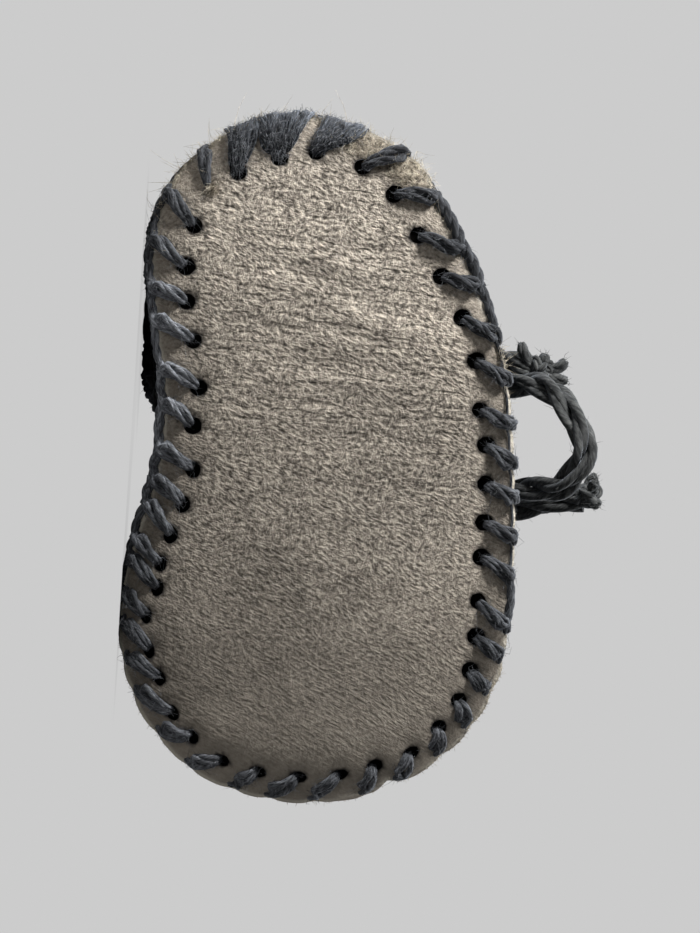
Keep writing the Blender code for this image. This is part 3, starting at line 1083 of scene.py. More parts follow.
def wool_finish(name, light, dark, plies, lay, relief, painted_tones=()):
    """Spun wool: grooves between its plies, painted darker as shade, and fibres along them, in a heathered
    colour.

    The lay of a ply is in millimetres. Each tone lightens the wool by its gain where its fades meet, as
    painted light, and a negative gain paints shade.
    """
    f = Finish(name, Roughness=0.95, Specular_IOR_Level=0.15, Sheen_Weight=0.2, Sheen_Roughness=0.45)
    f.feed(f.shader.inputs["Sheen Tint"], (0.8, 0.88, 1.0))
    u, v, _ = f.parts(f.node("ShaderNodeUVMap"))
    turn = v * plies + u / lay
    ply = (turn * math.pi).math("SINE").math("ABSOLUTE")
    fibres = f.noise(f.vector(u * 0.7, turn * 10.0, 0.0), 1.0, 3.0, 0.7)
    wisps = f.noise(f.vector(u * 0.25, turn * 4.0, 4.0), 1.0, 2.0, 0.5)
    heather = f.noise(f.object_millimetres(), 0.45, 2.0, 0.6)
    lit = f.spread(fibres, 0.38, 0.66)
    # The colour is painted darker in the grooves between the plies, as shade.
    share = (lit * 0.85 + f.spread(wisps, 0.3, 0.7) * 0.35 + heather * 0.4 - 0.42) * (ply * 0.5 + 0.5)
    colour = f.mix(share.clamped(), dark, light)
    if painted_tones:
        spot = f.parts(f.object_millimetres())
        level = 1.0
        for gain, fades in painted_tones:
            for fade in fades:
                gain = f.spread(spot[fade.axis], *fade[1:]) * gain
            level = gain + level
        colour = f.dimmed(colour, level)
    f.colour(colour)
    f.relief(ply * 0.5 + fibres * 0.7, relief)
    return f.material


def lining_finish(settings):
    """The shaded inside of the knitted wall, between its loops."""
    f = Finish("wool_shade", Roughness=1.0, Specular_IOR_Level=0.1)
    spot = f.object_millimetres()
    tangle = f.noise(spot, 1.6, 4.0, 0.7, 0.6)
    f.colour(f.mix(f.spread(tangle, 0.35, 0.75), [c * 0.6 for c in settings.dark], settings.light))
    f.relief(tangle, 0.0006)
    return f.material


def fibre_finish(name, low, high):
    """Loose fibres, each of one shade between two."""
    f = Finish(name, Roughness=0.8, Specular_IOR_Level=0.3)
    shade = f.noise(f.object_millimetres(), 0.8, 2.0, 0.6)
    f.colour(f.mix(f.spread(shade, 0.35, 0.65), low, high))
    return f.material


class BOOTIE_OT_camera(bpy.types.Operator):
    """Place the camera square to the sole"""

    bl_idname = "bootie.camera"
    bl_label = "Camera"

    def execute(self, context):
        settings = context.scene.bootie_stage
        lens = bpy.data.cameras.new("camera")
        lens.sensor_width = 36.0
        lens.lens = lens.sensor_width * settings.distance / settings.view_height
        lens.clip_start = 0.01
        lens.clip_end = 20.0
        camera = bpy.data.objects.new("camera", lens)
        context.scene.collection.objects.link(camera)
        roll = math.radians(CAMERA_ROLL)
        up = Vector((-math.cos(roll), 0.0, -math.sin(roll)))
        target = Vector((CAMERA_AIM[0], CAD_BOX[0].y, CAMERA_AIM[1]))
        eye = target - Vector((0.0, settings.distance, CAMERA_DROP))
        back = (eye - target).normalized()
        up = (up - back * up.dot(back)).normalized()
        right = up.cross(back)
        camera.matrix_world = Matrix.Translation(eye) @ Matrix((right, up, back)).transposed().to_4x4()
        context.scene.camera = camera
        context.scene.view_settings.view_transform = "Standard"
        return {"FINISHED"}


def route_line(route, step):
    """Smooth line through a route's points, in metres, with points at a step."""
    line = smooth_rows(place(route), False, 12)
    return even_line(line, max(12, round(reach_of(line)[-1] / step) + 1))


def cord_lines(line, settings):
    """The plies of a cord of three soft strands along a line, and the radius of each ply."""
    strand = settings.diameter * 0.255
    lines = []
    for number, centre in enumerate(twisted(line, 3, settings.diameter * 0.27, settings.lay)):
        lines += twisted(centre, 2, strand * 0.42, -settings.lay * 0.7, number)
    return lines, strand * 0.68


class BOOTIE_OT_cords(bpy.types.Operator):
    """Make the free ends of the cord"""

    bl_idname = "bootie.cords"
    bl_label = "Cords"

    def execute(self, context):
        settings = context.scene.bootie_cord
        finish = wool_finish("cord_wool", settings.light, settings.dark, 1, 9.0, 0.00022)
        fluff = fibre_finish("cord_fluff", settings.dark, settings.light)
        draw = np.random.default_rng(51)
        hairs = []
        for free in FREE_CORDS:
            path = route_line(free.route, 0.0012)
            length = reach_of(path)[-1]
            drawn = path
            if free.far_end == "knot":
                # The yarn runs on a little, into the knot.
                into = path[-1] + unit(path[-1] - path[-2]) * np.array([[0.0008], [0.0016]])
                drawn = np.vstack([path, into])
            lines, radius = cord_lines(drawn, settings)
            hairs += hairs_on(draw, lines, round(length * 5000), 0.0018, along=2.2, lift=0.0006)
            hairs += hairs_on(draw, lines, round(length * 13000), 0.0009, lift=0.0006, points=3)
            mesh = tube_mesh(free.node + "_yarn", lines, radius, detail=2)
            piece = add_piece(free.node + "_yarn", mesh, finish, (free.node,))
        add_hairs("cord_fluff", hairs, HAIR, fluff)
        return {"FINISHED"}


def knot_line(centre, size, tilt, steps=90):
    """A clover-shaped overhand knot drawn tight, fitted to its half sizes, in metres."""
    t = np.linspace(0.0, 2 * math.pi, steps, endpoint=False)
    shape = np.column_stack(
        [
            np.sin(t) + 2 * np.sin(2 * t),
            np.cos(t) - 2 * np.cos(2 * t),
            -1.35 * np.sin(3 * t),
        ]
    )
    shape = shape / np.abs(shape).max(axis=0)
    return place(np.array(centre) + shape @ tilt * size)


class BOOTIE_OT_knots(bpy.types.Operator):
    """Tie the knot of the bow and the knots on the ends of the cord"""

    bl_idname = "bootie.knots"
    bl_label = "Knots"

    def execute(self, context):
        for knot in KNOTS:
            self.tie(knot)
        return {"FINISHED"}

    def tie(self, knot):
        draw = np.random.default_rng(knot.seed)
        tilt = np.linalg.qr(draw.normal(size=(3, 3)))[0]
        line = knot_line(knot.centre, knot.size, tilt)
        closed = np.vstack([line, line[:1]])
        strand = knot.strand * MM
        lines = []
        for centre_line in twisted(closed, 2, strand * 0.9, 0.012):
            lines += twisted(centre_line, 3, strand * 0.48, -0.006)
        meshes = [tube_mesh(knot.node + "_wraps", lines, strand * 0.6, detail=2)]
        if knot.tips:
            mesh, lines = self.frayed_end(knot, draw)
            meshes.append(mesh)
            hairs = hairs_on(draw, lines, 420, 0.0014, lift=0.0004, points=3)
            add_hairs(knot.node + "_fluff", hairs, HAIR, bpy.data.materials["cord_fluff"])
        mesh = join_meshes(knot.node + "_yarn", meshes)
        add_piece(knot.node + "_yarn", mesh, bpy.data.materials["cord_wool"], (knot.node,))

    @staticmethod
    def frayed_end(knot, draw):
        """Cut ends of the cord's plies, which spread out of the knot."""
        lines = []
        t = np.linspace(0.0, 1.0, 8)[:, None]
        for number, tip in enumerate(knot.tips):
            bend = draw.normal(0.0, 0.35, 3) * np.sin(t * math.pi)
            ply = np.array(knot.centre) + np.array(tip) * (0.15 + 0.85 * t) + bend
            lines += twisted(place(ply), 3, 0.00042, 0.011, number)
        swell = [np.array([0.9, 1.0, 1.05, 1.1, 1.15, 1.15, 1.05, 0.55])] * len(lines)
        return tube_mesh(knot.node + "_stubs", lines, 0.00066, detail=2, swell=swell), lines


def leather_rings(leather):
    """Rings of the sole, as along, height and across: in from the cut edge, then towards the middle line."""
    arcs = OUTLINE.arcs
    edge_inset = leather.edge_inset(arcs)
    margin = OUTLINE.at(arcs, np.full(len(arcs), MARGIN))
    heel, toe = np.array(SPINE_HEEL), np.array(SPINE_TOE)
    share = np.clip((margin[:, 0] - heel[0]) / (toe[0] - heel[0]), 0.0, 1.0)
    middle = blend(heel, toe, share[:, None])
    rings = []
    for depth in (0.0, 0.35, 0.8, 1.4, 2.1, 2.9, 3.7, 4.5, 5.3, 6.1, 7.0, 8.0, 9.2, 10.6, 12.2):
        rings.append(leather.point(arcs, depth + edge_inset * (1 - depth / MARGIN)))
    for step in np.linspace(0.0, 0.94, 16):
        flat = blend(margin, middle, step)
        rings.append(np.column_stack([flat[:, 0], np.zeros(len(flat)), flat[:, 1]]))
    return rings


def leather_mesh(settings, leather):
    """The sole as one sheet of rings, with its wrinkles and the dents of its stitches."""
    mesh = bmesh.new()
    number = mesh.verts.layers.int.new("number")
    made = bmesh.ops.create_circle(mesh, cap_ends=False, segments=OUTLINE_POINTS, radius=1.0)
    for k, vert in enumerate(made["verts"]):
        vert[number] = k
    edges = list(mesh.edges)
    for k, ring in enumerate(leather_rings(leather)):
        if k:
            made = bmesh.ops.extrude_edge_only(mesh, edges=edges)
            edges = [e for e in made["geom"] if isinstance(e, bmesh.types.BMEdge)]
            edges = [e for e in edges if len(e.link_faces) == 1]
        verts = {v for e in edges for v in e.verts}
        raised = ring.copy()
        # The wrinkles grow over the first ten rings, so the cut edge stays even.
        raised[:, 1] += wrinkle_height(ring[:, 0], ring[:, 2]) * min(1.0, k / 10)
        raised[:, 1] += stitch_dents(ring[:, 0], ring[:, 2])
        raised[:, 2] = np.maximum(raised[:, 2], FLOOR_GAP)
        spots = place(raised)
        for vert in verts:
            vert.co = spots[vert[number]]
    bmesh.ops.triangle_fill(mesh, use_beauty=True, edges=edges)
    bmesh.ops.recalc_face_normals(mesh, faces=mesh.faces)
    middle_face = min(mesh.faces, key=lambda face: face.calc_center_median().length)
    if middle_face.normal.y < 0:
        bmesh.ops.reverse_faces(mesh, faces=mesh.faces)
    bmesh.ops.solidify(mesh, geom=mesh.faces[:], thickness=-settings.thickness)
    bmesh.ops.recalc_face_normals(mesh, faces=mesh.faces)
    data = bpy.data.meshes.new("leather")
    mesh.to_mesh(data)
    mesh.free()
    return data


def hole_cutters(settings, leather):
    """One slightly uneven punch for each open hole."""
    draw = np.random.default_rng(5)
    length = 0.012
    mesh = bmesh.new()
    for k, stitch in enumerate(STITCHES):
        if k == PLUGGED:
            continue
        centre = place(leather.point(stitch.arc, stitch.inset))
        radius = settings.hole / 2 * draw.uniform(0.94, 1.06)
        inwards = OUTLINE.read(OUTLINE.inwards, stitch.arc)
        made = bmesh.ops.create_cone(
            mesh, cap_ends=True, segments=16, radius1=radius, radius2=radius, depth=length
        )
        for vert in made["verts"]:
            vert.co.x *= 1.0 + draw.uniform(-0.07, 0.07)
            vert.co.y *= stitch.squash + draw.uniform(-0.07, 0.07)
        # The punch stands square to the sole, with its second axis pointing away from the edge.
        up = Vector((0.0, 1.0, 0.0))
        to_middle = Vector((inwards[0], 0.0, inwards[1]))
        turn = Matrix((to_middle.cross(up), to_middle, up)).transposed()
        bmesh.ops.rotate(mesh, matrix=turn, verts=made["verts"])
        # It ends a little short of the inside, so the hole has a bottom, painted near-black as shade.
        middle = up * (settings.thickness * 0.8 - length / 2)
        bmesh.ops.translate(mesh, vec=Vector(centre) + middle, verts=made["verts"])
    bmesh.ops.recalc_face_normals(mesh, faces=mesh.faces)
    data = bpy.data.meshes.new("punches")
    mesh.to_mesh(data)
    mesh.free()
    return data


def cut(body, cutter):
    """Mesh of a body with a cutter taken out of it."""
    item = bpy.data.objects.new("cut_body", body)
    tool = bpy.data.objects.new("cut_tool", cutter)
    for holder in (item, tool):
        bpy.context.scene.collection.objects.link(holder)
    step = item.modifiers.new("cut", "BOOLEAN")
    step.operation = "DIFFERENCE"
    step.solver = "EXACT"
    step.object = tool
    graph = bpy.context.evaluated_depsgraph_get()
    result = bpy.data.meshes.new_from_object(item.evaluated_get(graph))
    bpy.data.objects.remove(item)
    bpy.data.objects.remove(tool)
    return result


def mark_leather(mesh, leather, settings):
    """Writes how far each point lies from the edge and the cut edge, and how much painted shade of the
    nearest hole it takes.
    """
    count = len(mesh.vertices)
    spots = np.empty(count * 3)
    mesh.vertices.foreach_get("co", spots)
    spots = (spots.reshape(-1, 3) - place((0.0, 0.0, 0.0))) / MM
    flat = spots[:, (0, 2)]
    inset = np.empty(count)
    nearest = np.empty(count, int)
    batch = 4000
    for start in range(0, count, batch):
        part = slice(start, start + batch)
        gaps = np.linalg.norm(flat[part, None] - OUTLINE.points[None], axis=2)
        nearest[part] = gaps.argmin(axis=1)
        inset[part] = gaps.min(axis=1)
    edge_inset = leather.edge_inset(OUTLINE.arcs)[nearest]
    height = spots[:, 1] - leather.rise(flat[:, 0], inset)
    from_cut = inset - edge_inset
    edge = np.clip(1 - (from_cut - 0.35) / 0.5, 0.0, 1.0)
    side = np.clip((height - 0.15) / 0.3, 0.0, 1.0) * np.clip(1 - (from_cut - 1.2) / 0.6, 0.0, 1.0)
    # Painted shade in each hole, fading out just past its rim, and weaker at the plugged one.
    hole = np.zeros(count)
    radius = settings.hole / MM / 2
    for k, stitch in enumerate(STITCHES):
        offset = flat - OUTLINE.at(stitch.arc, stitch.inset)
        inwards = OUTLINE.read(OUTLINE.inwards, stitch.arc)
        radial = offset @ inwards
        gap = np.hypot(radial / stitch.squash, offset @ np.array([-inwards[1], inwards[0]]))
        reach = 0.3 if k == PLUGGED else 1.0
        hole = np.maximum(hole, np.clip(1 - (gap - radius * 1.06) / 0.25, 0.0, 1.0) * reach)
    for name, values in (("inset", inset), ("edge", np.maximum(edge, side)), ("hole", hole)):
        layer = mesh.attributes.new(name, "FLOAT", "POINT")
        layer.data.foreach_set("value", values)


class BOOTIE_OT_sole(bpy.types.Operator):
    """Cut the leather sole and punch its holes"""

    bl_idname = "bootie.sole"
    bl_label = "Sole"

    def execute(self, context):
        settings = context.scene.bootie_sole
        leather = Leather(settings)
        suede = suede_finish(settings)
        # The faces the punches leave, the walls and bottoms of the holes, are painted near-black as shade.
        shade = Finish("hole_shade", Roughness=1.0, Specular_IOR_Level=0.0)
        shade.colour((0.006, 0.0055, 0.005))
        sheet = leather_mesh(settings, leather)
        punches = hole_cutters(settings, leather)
        for mesh in (sheet, punches):
            mesh.materials.append(suede)
            mesh.materials.append(shade.material)
        punches.polygons.foreach_set("material_index", [1] * len(punches.polygons))
        mesh = cut(sheet, punches)
        mark_leather(mesh, leather, settings)
        mesh.shade_smooth()
        mesh.set_sharp_from_angle(angle=math.radians(50))
        add_piece("leather_sole", mesh, None, ("sole",))
        return {"FINISHED"}


def edge_values(arc):
    """Place and thickness of the edge's yarn at a distance round the outline."""
    table = np.array([*EDGE_ZONES, EDGE_ZONES[0]._replace(arc=EDGE_ZONES[0].arc + OUTLINE.length)])
    turn = (arc - table[0, 0]) % OUTLINE.length + table[0, 0]
    return [np.interp(turn, table[:, 0], column) for column in table[:, 1:].T]


def soft_strand(line, radius, draw, plies, lay):
    """Plies of a softly spun strand whose radius varies along it, and how each swells."""
    offset = 0.34 if plies == 2 else 0.46
    lines = twisted(line, plies, radius * offset, lay, draw.uniform(0.0, 6.28))
    return lines, [radius * (1.06 - offset)] * plies


class BOOTIE_OT_seam(bpy.types.Operator):
    """Sew the sole to the upper with blanket stitches"""

    bl_idname = "bootie.seam"
    bl_label = "Seam"

    def execute(self, context):
        yarn = context.scene.bootie_yarn
        counts = context.scene.bootie_fibre
        leather = Leather(context.scene.bootie_sole)
        radius = yarn.seam_yarn / 2
        finish = wool_finish("seam_wool", yarn.light, yarn.dark, 1, 7.0, 0.00018, SEAM_PAINTED_TONES)
        # The loose strands at the heel take a lighter copy of the same wool: painted light.
        heel_lit_wool = [value * gain for value, gain in zip(yarn.light, (1.35, 1.42, 1.5))]
        heel = wool_finish("heel_wool", heel_lit_wool, yarn.dark, 1, 7.0, 0.00018, HEEL_PAINTED_TONES)
        fluff = fibre_finish("seam_fluff", [c * 1.5 for c in yarn.dark], [c * 1.2 for c in yarn.light])
        draw = np.random.default_rng(21)
        stitches = self.stitches(leather, radius, draw)
        edge = self.edge_yarn(leather, radius, draw)
        fans = self.heel_fans(leather, draw)
        parts = (
            ("seam_stitches", stitches, finish),
            ("seam_edge_yarn", edge, finish),
            ("seam_heel_stitches", fans, heel),
        )
        for name, (lines, swells), wool in parts:
            add_piece(name, tube_mesh(name, lines, 1.0, swell=swells), wool)
        out = (0.0, -0.7, 0.0)
        hairs = hairs_on(draw, stitches[0], counts.seam_fibres // 2, 0.0034, out, 2.4, 0.0006)
        hairs += hairs_on(draw, stitches[0], counts.seam_fibres // 3, 0.0018, out, 0.8, 0.0005, points=3)
        hairs += hairs_on(draw, edge[0], counts.seam_fibres // 6, 0.0016, out, 1.2, points=3)
        add_hairs("seam_fluff", inside_edge(hairs, 0.7), WOOL_HAIR, fluff)
        pale = fibre_finish("heel_fluff", [c * 0.5 for c in yarn.light], [c * 1.7 for c in yarn.light])
        hairs = hairs_on(draw, fans[0], counts.seam_fibres // 3, 0.0032, (-0.4, -0.6, 0.0), 3.0, 0.0003)
        hairs += hairs_on(draw, fans[0], counts.seam_fibres // 4, 0.0016, (0.0, -0.5, 0.0), 0.6, points=3)
        add_hairs("seam_heel_fluff", inside_edge(hairs, 1.3), WOOL_HAIR, pale)
        return {"FINISHED"}

    @staticmethod
    def stitches(leather, radius, draw):
        """Three soft strands a stitch, wound a little round each other: out of the hole, over the edge.

        Where a stitch tucks under the edge, at the toe, it lies flatter and sinks into the leather.
        """
        lines, swells = [], []
        t = np.array([0.0, 0.06, 0.16, 0.32, 0.5, 0.68, 0.84, 0.95])
        count = 21
        along = np.linspace(0.0, 1.0, count)
        for k, stitch in enumerate(STITCHES):
            if k in CLUMPS:
                continue
            toe = min(1.0, stitch.tuck / 0.8)
            tucked = min(1.0, stitch.tuck / 0.5)
            edge_arc = stitch.arc + stitch.lean
            end = np.array([edge_arc, float(leather.edge_inset(edge_arc)) + 0.2 + stitch.tuck + 0.4 * toe])
            start = np.array([stitch.arc, stitch.inset])
            start += unit(end - start) * 0.6
            square = unit(end - start)[::-1] * (1, -1)
            under = np.array([0.15, 0.25, 0.2, -0.6]) - stitch.tuck - 0.5 * toe
            down = blend(np.array([0.25, -0.6, -1.5, -2.2]), np.array([-0.1, -0.9, -1.6, -2.2]), tucked)
            taper = [1.0, 1.15, 1.32 - 0.1 * toe, 1.3 - 0.3 * toe, 1.1 - 0.4 * toe]
            strands = 2 if k == PLUGGED else 3
            spread = np.interp(t, [0.0, 0.2, 0.7, 1.0], [0.34, 0.58, 0.88, 0.98]) * (strands / 3)
            spread = spread * (1 + 0.2 * toe)
            phase = draw.uniform(0.0, 6.28)
            wind = draw.uniform(1.6, 2.6) * (1 - 0.6 * toe)
            for strand in range(strands):
                angle = phase + 2 * math.pi * strand / strands + wind * t
                gap = spread * np.cos(angle) + draw.normal(0.0, 0.10) * np.sin(t * math.pi)
                lift = (0.6 - 0.42 * toe) * spread * (1 + np.sin(angle))
                flat = start + (end - start) * t[:, None] + square * gap[:, None]
                sink = toe * draw.uniform(0.3, 1.0)
                depths = [-1.5, -0.7, 0.1, 0.35 - 0.2 * sink, 0.25 - sink]
                depth = np.interp(t, [0.0, 0.06, 0.18, 0.5, 0.95], depths)
                face = leather.point(flat[:, 0], flat[:, 1], depth + lift)
                over_arc = edge_arc + gap[-1] * 0.8 + np.array([0.0, 0.1, 0.15, 0.1])
                loose = np.array([0.12, 0.45, 0.40, -0.8]) + 0.5 * lift[-1] * np.array([1.0, 1.0, 0.6, 0.0])
                over = leather.beyond(over_arc, blend(loose, under, tucked), down)
                points = smooth_rows(off_floor(np.vstack([face, over]), 0.4), False, 6)
                path = even_line(place(points), count)
                girth = radius * np.interp(along, [0.0, 0.2, 0.6, 0.8, 1.0], taper)
                girth = girth * draw.uniform(0.92, 1.08)
                made = soft_strand(path, girth, draw, 2, 0.010 + 0.014 * toe)
                lines.extend(made[0])
                swells.extend(made[1])
        return lines, swells

    @staticmethod
    def edge_yarn(leather, radius, draw):
        """Yarn along the edge from stitch to stitch, and the loops that hold the knitting."""
        lines, swells = [], []

        def add(arc, ahead, out, girth, count, plies):
            spots = smooth_rows(off_floor(leather.beyond(arc, ahead, out), 0.4), False, 4)
            path = even_line(place(spots), count)
            made = soft_strand(path, np.broadcast_to(girth, count), draw, plies, 0.008)
            lines.extend(made[0])
            swells.extend(made[1])

        for k, stitch in enumerate(STITCHES):
            after = STITCHES[(k + 1) % HOLES]
            start = stitch.arc + stitch.lean
            end = after.arc + after.lean
            end += OUTLINE.length * (end < start)
            t = np.linspace(0.0, 1.0, 9)
            arc = blend(start - 0.3, end + 0.5, t)
            _, ahead, out, thickness = edge_values(arc)
            bow = np.sin(t * math.pi)
            girth = float(thickness[4]) * MM / 2
            add(arc, ahead + draw.normal(0.0, 0.05) - 0.1 * bow, out + 0.1 * bow, girth, 16, 3)
            for step in (-0.4, 0.5):
                loop_arc = start + step + np.array([0.0, 0.1, 0.3, 0.5, 0.5])
                ahead = np.array([0.2, 0.45, 0.4, 0.0, -1.2]) - stitch.tuck * 1.5
                add(loop_arc, ahead, np.array([0.0, -0.7, -1.8, -2.7, -3.4]), radius, 9, 2)
        return lines, swells

    @staticmethod
    def heel_fans(leather, draw):
        """Bunches of loose strands that spread from a hole over the edge of the heel."""
        lines, swells = [], []
        t = np.linspace(0.0, 1.0, 8)
        for fan in FANS:
            stitch = STITCHES[fan.stitch]
            for number in range(fan.strands):
                share = (number + 0.5) / fan.strands
                thick = number % 3 == 0
                side = share * 2 - 1
                end_arc = stitch.arc + blend(fan.first, fan.last, share) + draw.normal(0.0, 0.5)
                start_inset = stitch.inset - 0.5 * side**2 + draw.normal(0.0, 0.2)
                start = np.array([stitch.arc + side * 1.25, start_inset])
                end = np.array([end_arc, float(leather.edge_inset(end_arc)) + 0.1])
                flat = start + (end - start) * t[:, None]
                flat[:, 0] += (0.5 * side + draw.normal(0.0, 0.6)) * np.sin(t * math.pi)
                flat[:, 0] += draw.normal(0.0, 0.35) * np.sin(t * 2 * math.pi)
                layer = fan.height + 1.1 * (1 - side**2) * draw.uniform(0.1, 0.8 if thick else 1.1)
                depth = 0.15 + layer * np.sin(np.clip(t * 1.3, 0, 1) * math.pi * 0.5)
                depth[:2] = -1.4, -0.1
                face = leather.point(flat[:, 0], flat[:, 1], depth)
                bulge = draw.uniform(0.5, 1.3) * np.array([0.7, 1.0, 0.8, -0.5])
                drift = draw.normal(0.0, 0.6) + np.array([0.0, 0.2, 0.4, 0.5])
                over = leather.beyond(end_arc + drift, bulge, np.array([0.1, -0.7, -1.7, -2.8]))
                path = even_line(place(smooth_rows(np.vstack([face, over]), False, 4)), 20)
                grow = np.interp(np.linspace(0, 1, 20), [0.0, 0.3, 0.7, 1.0], [0.8, 0.9, 1.15, 0.8])
                girth = fan.radius * (1.6 if thick else 0.55)
                lines.append(path)
                swells.append(grow * draw.uniform(0.8, 1.2) * girth * MM)
        return lines, swells


class BOOTIE_OT_rim_fibres(bpy.types.Operator):
    """Fray the cut edge of the leather, and leave loose hairs at the heel"""

    bl_idname = "bootie.rim_fibres"
    bl_label = "Rim fibres"

    def execute(self, context):
        count = context.scene.bootie_fibre.edge_fibres
        leather = Leather(context.scene.bootie_sole)
        draw = np.random.default_rng(61)
        pale = fibre_finish("pale_hair", (0.17, 0.14, 0.10), (0.74, 0.67, 0.54))
        arc = draw.uniform(0.0, OUTLINE.length, count)
        out = draw.uniform(-1.7, 0.0, count)
        roots = place(leather.beyond(arc, np.full(count, -0.1), out))
        inwards = OUTLINE.read(OUTLINE.inwards, arc)
        facing = np.column_stack([-inwards[:, 0], np.full(count, -0.5), -inwards[:, 1]])
        headings = unit(unit(draw.normal(size=(count, 3))) * 0.9 + facing)
        lengths = 0.0009 * (0.25 + 0.75 * draw.random(count) ** 2)
        hairs = hair_lines(draw, roots, headings, lengths, 0.25, 3)
        for tuft in TUFTS:
            arc = draw.normal(tuft.arc, tuft.spread, tuft.hairs)
            inset = leather.edge_inset(arc) + draw.uniform(tuft.near, tuft.far, tuft.hairs)
            roots = place(leather.point(arc, inset, 0.0))
            inwards = OUTLINE.read(OUTLINE.inwards, arc)
            facing = np.column_stack([-inwards[:, 0], np.full(tuft.hairs, -0.35), -inwards[:, 1]])
            headings = unit(unit(draw.normal(size=roots.shape)) * tuft.scatter + facing)
            lengths = draw.uniform(0.3, 1.0, tuft.hairs) * tuft.length * MM
            hairs += hair_lines(draw, roots, headings, lengths, 0.55)
        add_hairs("rim_hairs", hairs, HAIR, pale)
        hairs = []
        t = np.linspace(0.0, 1.0, 4)
        for hair in LONG_HAIRS:
            reach = hair.length * t
            arc = hair.arc + hair.lean * hair.length * t**1.6
            hairs.append(place(leather.beyond(arc, reach - 0.4, -1.0 + 0.8 * t)))
        add_hairs("long_hairs", hairs, HAIR, pale)
        return {"FINISHED"}


class Patch:
    """A stretch of knitted wall: points and outward directions, by share up it and share round it."""

    def __init__(self, points, closed):
        self.points = points
        self.closed = closed
        up = np.gradient(points, axis=0)
        if closed:
            wrapped = np.concatenate([points[:, -2:-1], points, points[:, 1:2]], axis=1)
            round_it = np.gradient(wrapped, axis=1)[:, 1:-1]
        else:
            round_it = np.gradient(points, axis=1)
        self.outwards = unit(np.cross(round_it, up))

    def read(self, table, up, around):
        rows, columns = table.shape[0] - 1, table.shape[1] - 1
        if self.closed:
            around = around % 1.0
        y = np.clip(up, 0.0, 1.0) * rows
        x = np.clip(around, 0.0, 1.0) * columns
        i = np.minimum(y.astype(int), rows - 1)
        j = np.minimum(x.astype(int), columns - 1)
        fy, fx = (y - i)[..., None], (x - j)[..., None]
        low = blend(table[i, j], table[i, j + 1], fx)
        high = blend(table[i + 1, j], table[i + 1, j + 1], fx)
        return blend(low, high, fy)

    def at(self, up, around, out):
        up, around, out = np.broadcast_arrays(up, around, out)
        return self.read(self.points, up, around) + self.read(self.outwards, up, around) * out[..., None]

    def row_reach(self, up):
        """Distance round the row at one share up, over three turns from a turn before its start."""
        shares = np.linspace(0.0, 1.0, self.points.shape[1])
        # The last share stays just short of a full turn, which would read as the row's start.
        reach = reach_of(self.read(self.points, np.full(len(shares), up), shares * 0.9999999))
        turns = [(shares + turn, reach + turn * reach[-1]) for turn in (-1, 0, 1)]
        return [np.concatenate([part[:-1] for part in parts]) for parts in zip(*turns)]


def upper_grid(low, high, rows, columns):
    """Grid of the upper's outside between two heights, at even steps up each column."""
    table = smooth_rows(UPPER_SECTIONS, False, 16)
    table = table[(table[:, 0] >= low) & (table[:, 0] <= high)]
    flat = np.vstack([OUTLINE.points, OUTLINE.points[:1]])
    flat = flat / (LENGTH, WIDTH) - 0.5
    oval = unit(flat) * 0.5
    rings = []
    for height, back, front, inner, outer, roundness in table:
        shape = blend(flat, oval, roundness)
        along = blend(back, front, shape[:, 0] + 0.5)
        across = np.maximum(blend(inner, outer, shape[:, 1] + 0.5), 0.0)
        seat = LEATHER_GAP + cup_height(along, 0.0)
        fade = max(0.0, 1 - height / LIFT_FADE_HEIGHT) ** LIFT_FADE_POWER
        level = height + (seat - UPPER_SECTIONS[0].height) * fade
        rings.append(np.column_stack([along, level, across]))
    rings = np.array(rings)
    picks = np.linspace(0, rings.shape[1] - 1, columns + 1)
    grid = np.empty((rows + 1, columns + 1, 3))
    for j, pick in enumerate(picks):
        k = min(int(pick), rings.shape[1] - 2)
        column = blend(rings[:, k], rings[:, k + 1], pick - k)
        grid[:, j] = even_line(column, rows + 1)
    return grid


def foot_patches():
    """Rounds of the foot, from the seam to the ankle and in front to the flap's edge, and then the flap."""
    whole = Patch(upper_grid(0.0, FOOT_TOP, 120, OUTLINE_POINTS), True)
    half = OUTLINE.length / 2
    front_share = 1 - FLAP_LENGTH / reach_of(whole.points[:, round(TOE_SHARE * OUTLINE_POINTS)])[-1]

    def share_at(level, distance):
        """Share round the row of a point that lies a distance from the middle of the front."""
        shares, reach = whole.row_reach(level)
        middle = np.interp(TOE_SHARE, shares, reach)
        return np.interp(middle + distance, reach, shares)

    ankle = 0.5 * reach_of(whole.points[-1])[-1]
    columns = OUTLINE_POINTS
    points = np.empty((73, columns + 1, 3))
    for j in range(columns + 1):
        offset = (j / columns - TOE_SHARE + 0.5) % 1.0 - 0.5
        sign = math.copysign(1.0, offset)
        foot = abs(offset) * 2 * half
        if foot < TOE_HALF_FOOT:
            distance = TOE_HALF_FLAP * foot / TOE_HALF_FOOT
            level = front_share
        elif foot < SIDE_FOOT:
            share = (foot - TOE_HALF_FOOT) / (SIDE_FOOT - TOE_HALF_FOOT)
            distance = TOE_HALF_FLAP
            level = blend(front_share, 1.0, share)
        else:
            share = (foot - SIDE_FOOT) / (half - SIDE_FOOT)
            distance = blend(TOE_HALF_FLAP, ankle, share)
            level = 1.0
        start = j / columns
        top = share_at(level, sign * distance)
        top -= round(top - start)
        path = np.linspace(0.0, 1.0, 60)
        line = whole.at(path * level, blend(start, top, path), 0.0)
        points[:, j] = even_line(line, len(points))
    spans = np.linspace(-1.0, 1.0, 49) * (TOE_HALF_FLAP + FLAP_LAP)
    levels = np.linspace(front_share - FLAP_LAP / FLAP_LENGTH * (1 - front_share), 1.0, 41)
    flap = [whole.at(level, share_at(level, spans), 0.0) for level in levels]
    return Patch(points, True), Patch(np.array(flap), False)


def all_plain(number, stitches):
    """Signs of the stitches of a plain row: 1 is a plain stitch, and -1 a purl."""
    return np.ones(len(stitches))


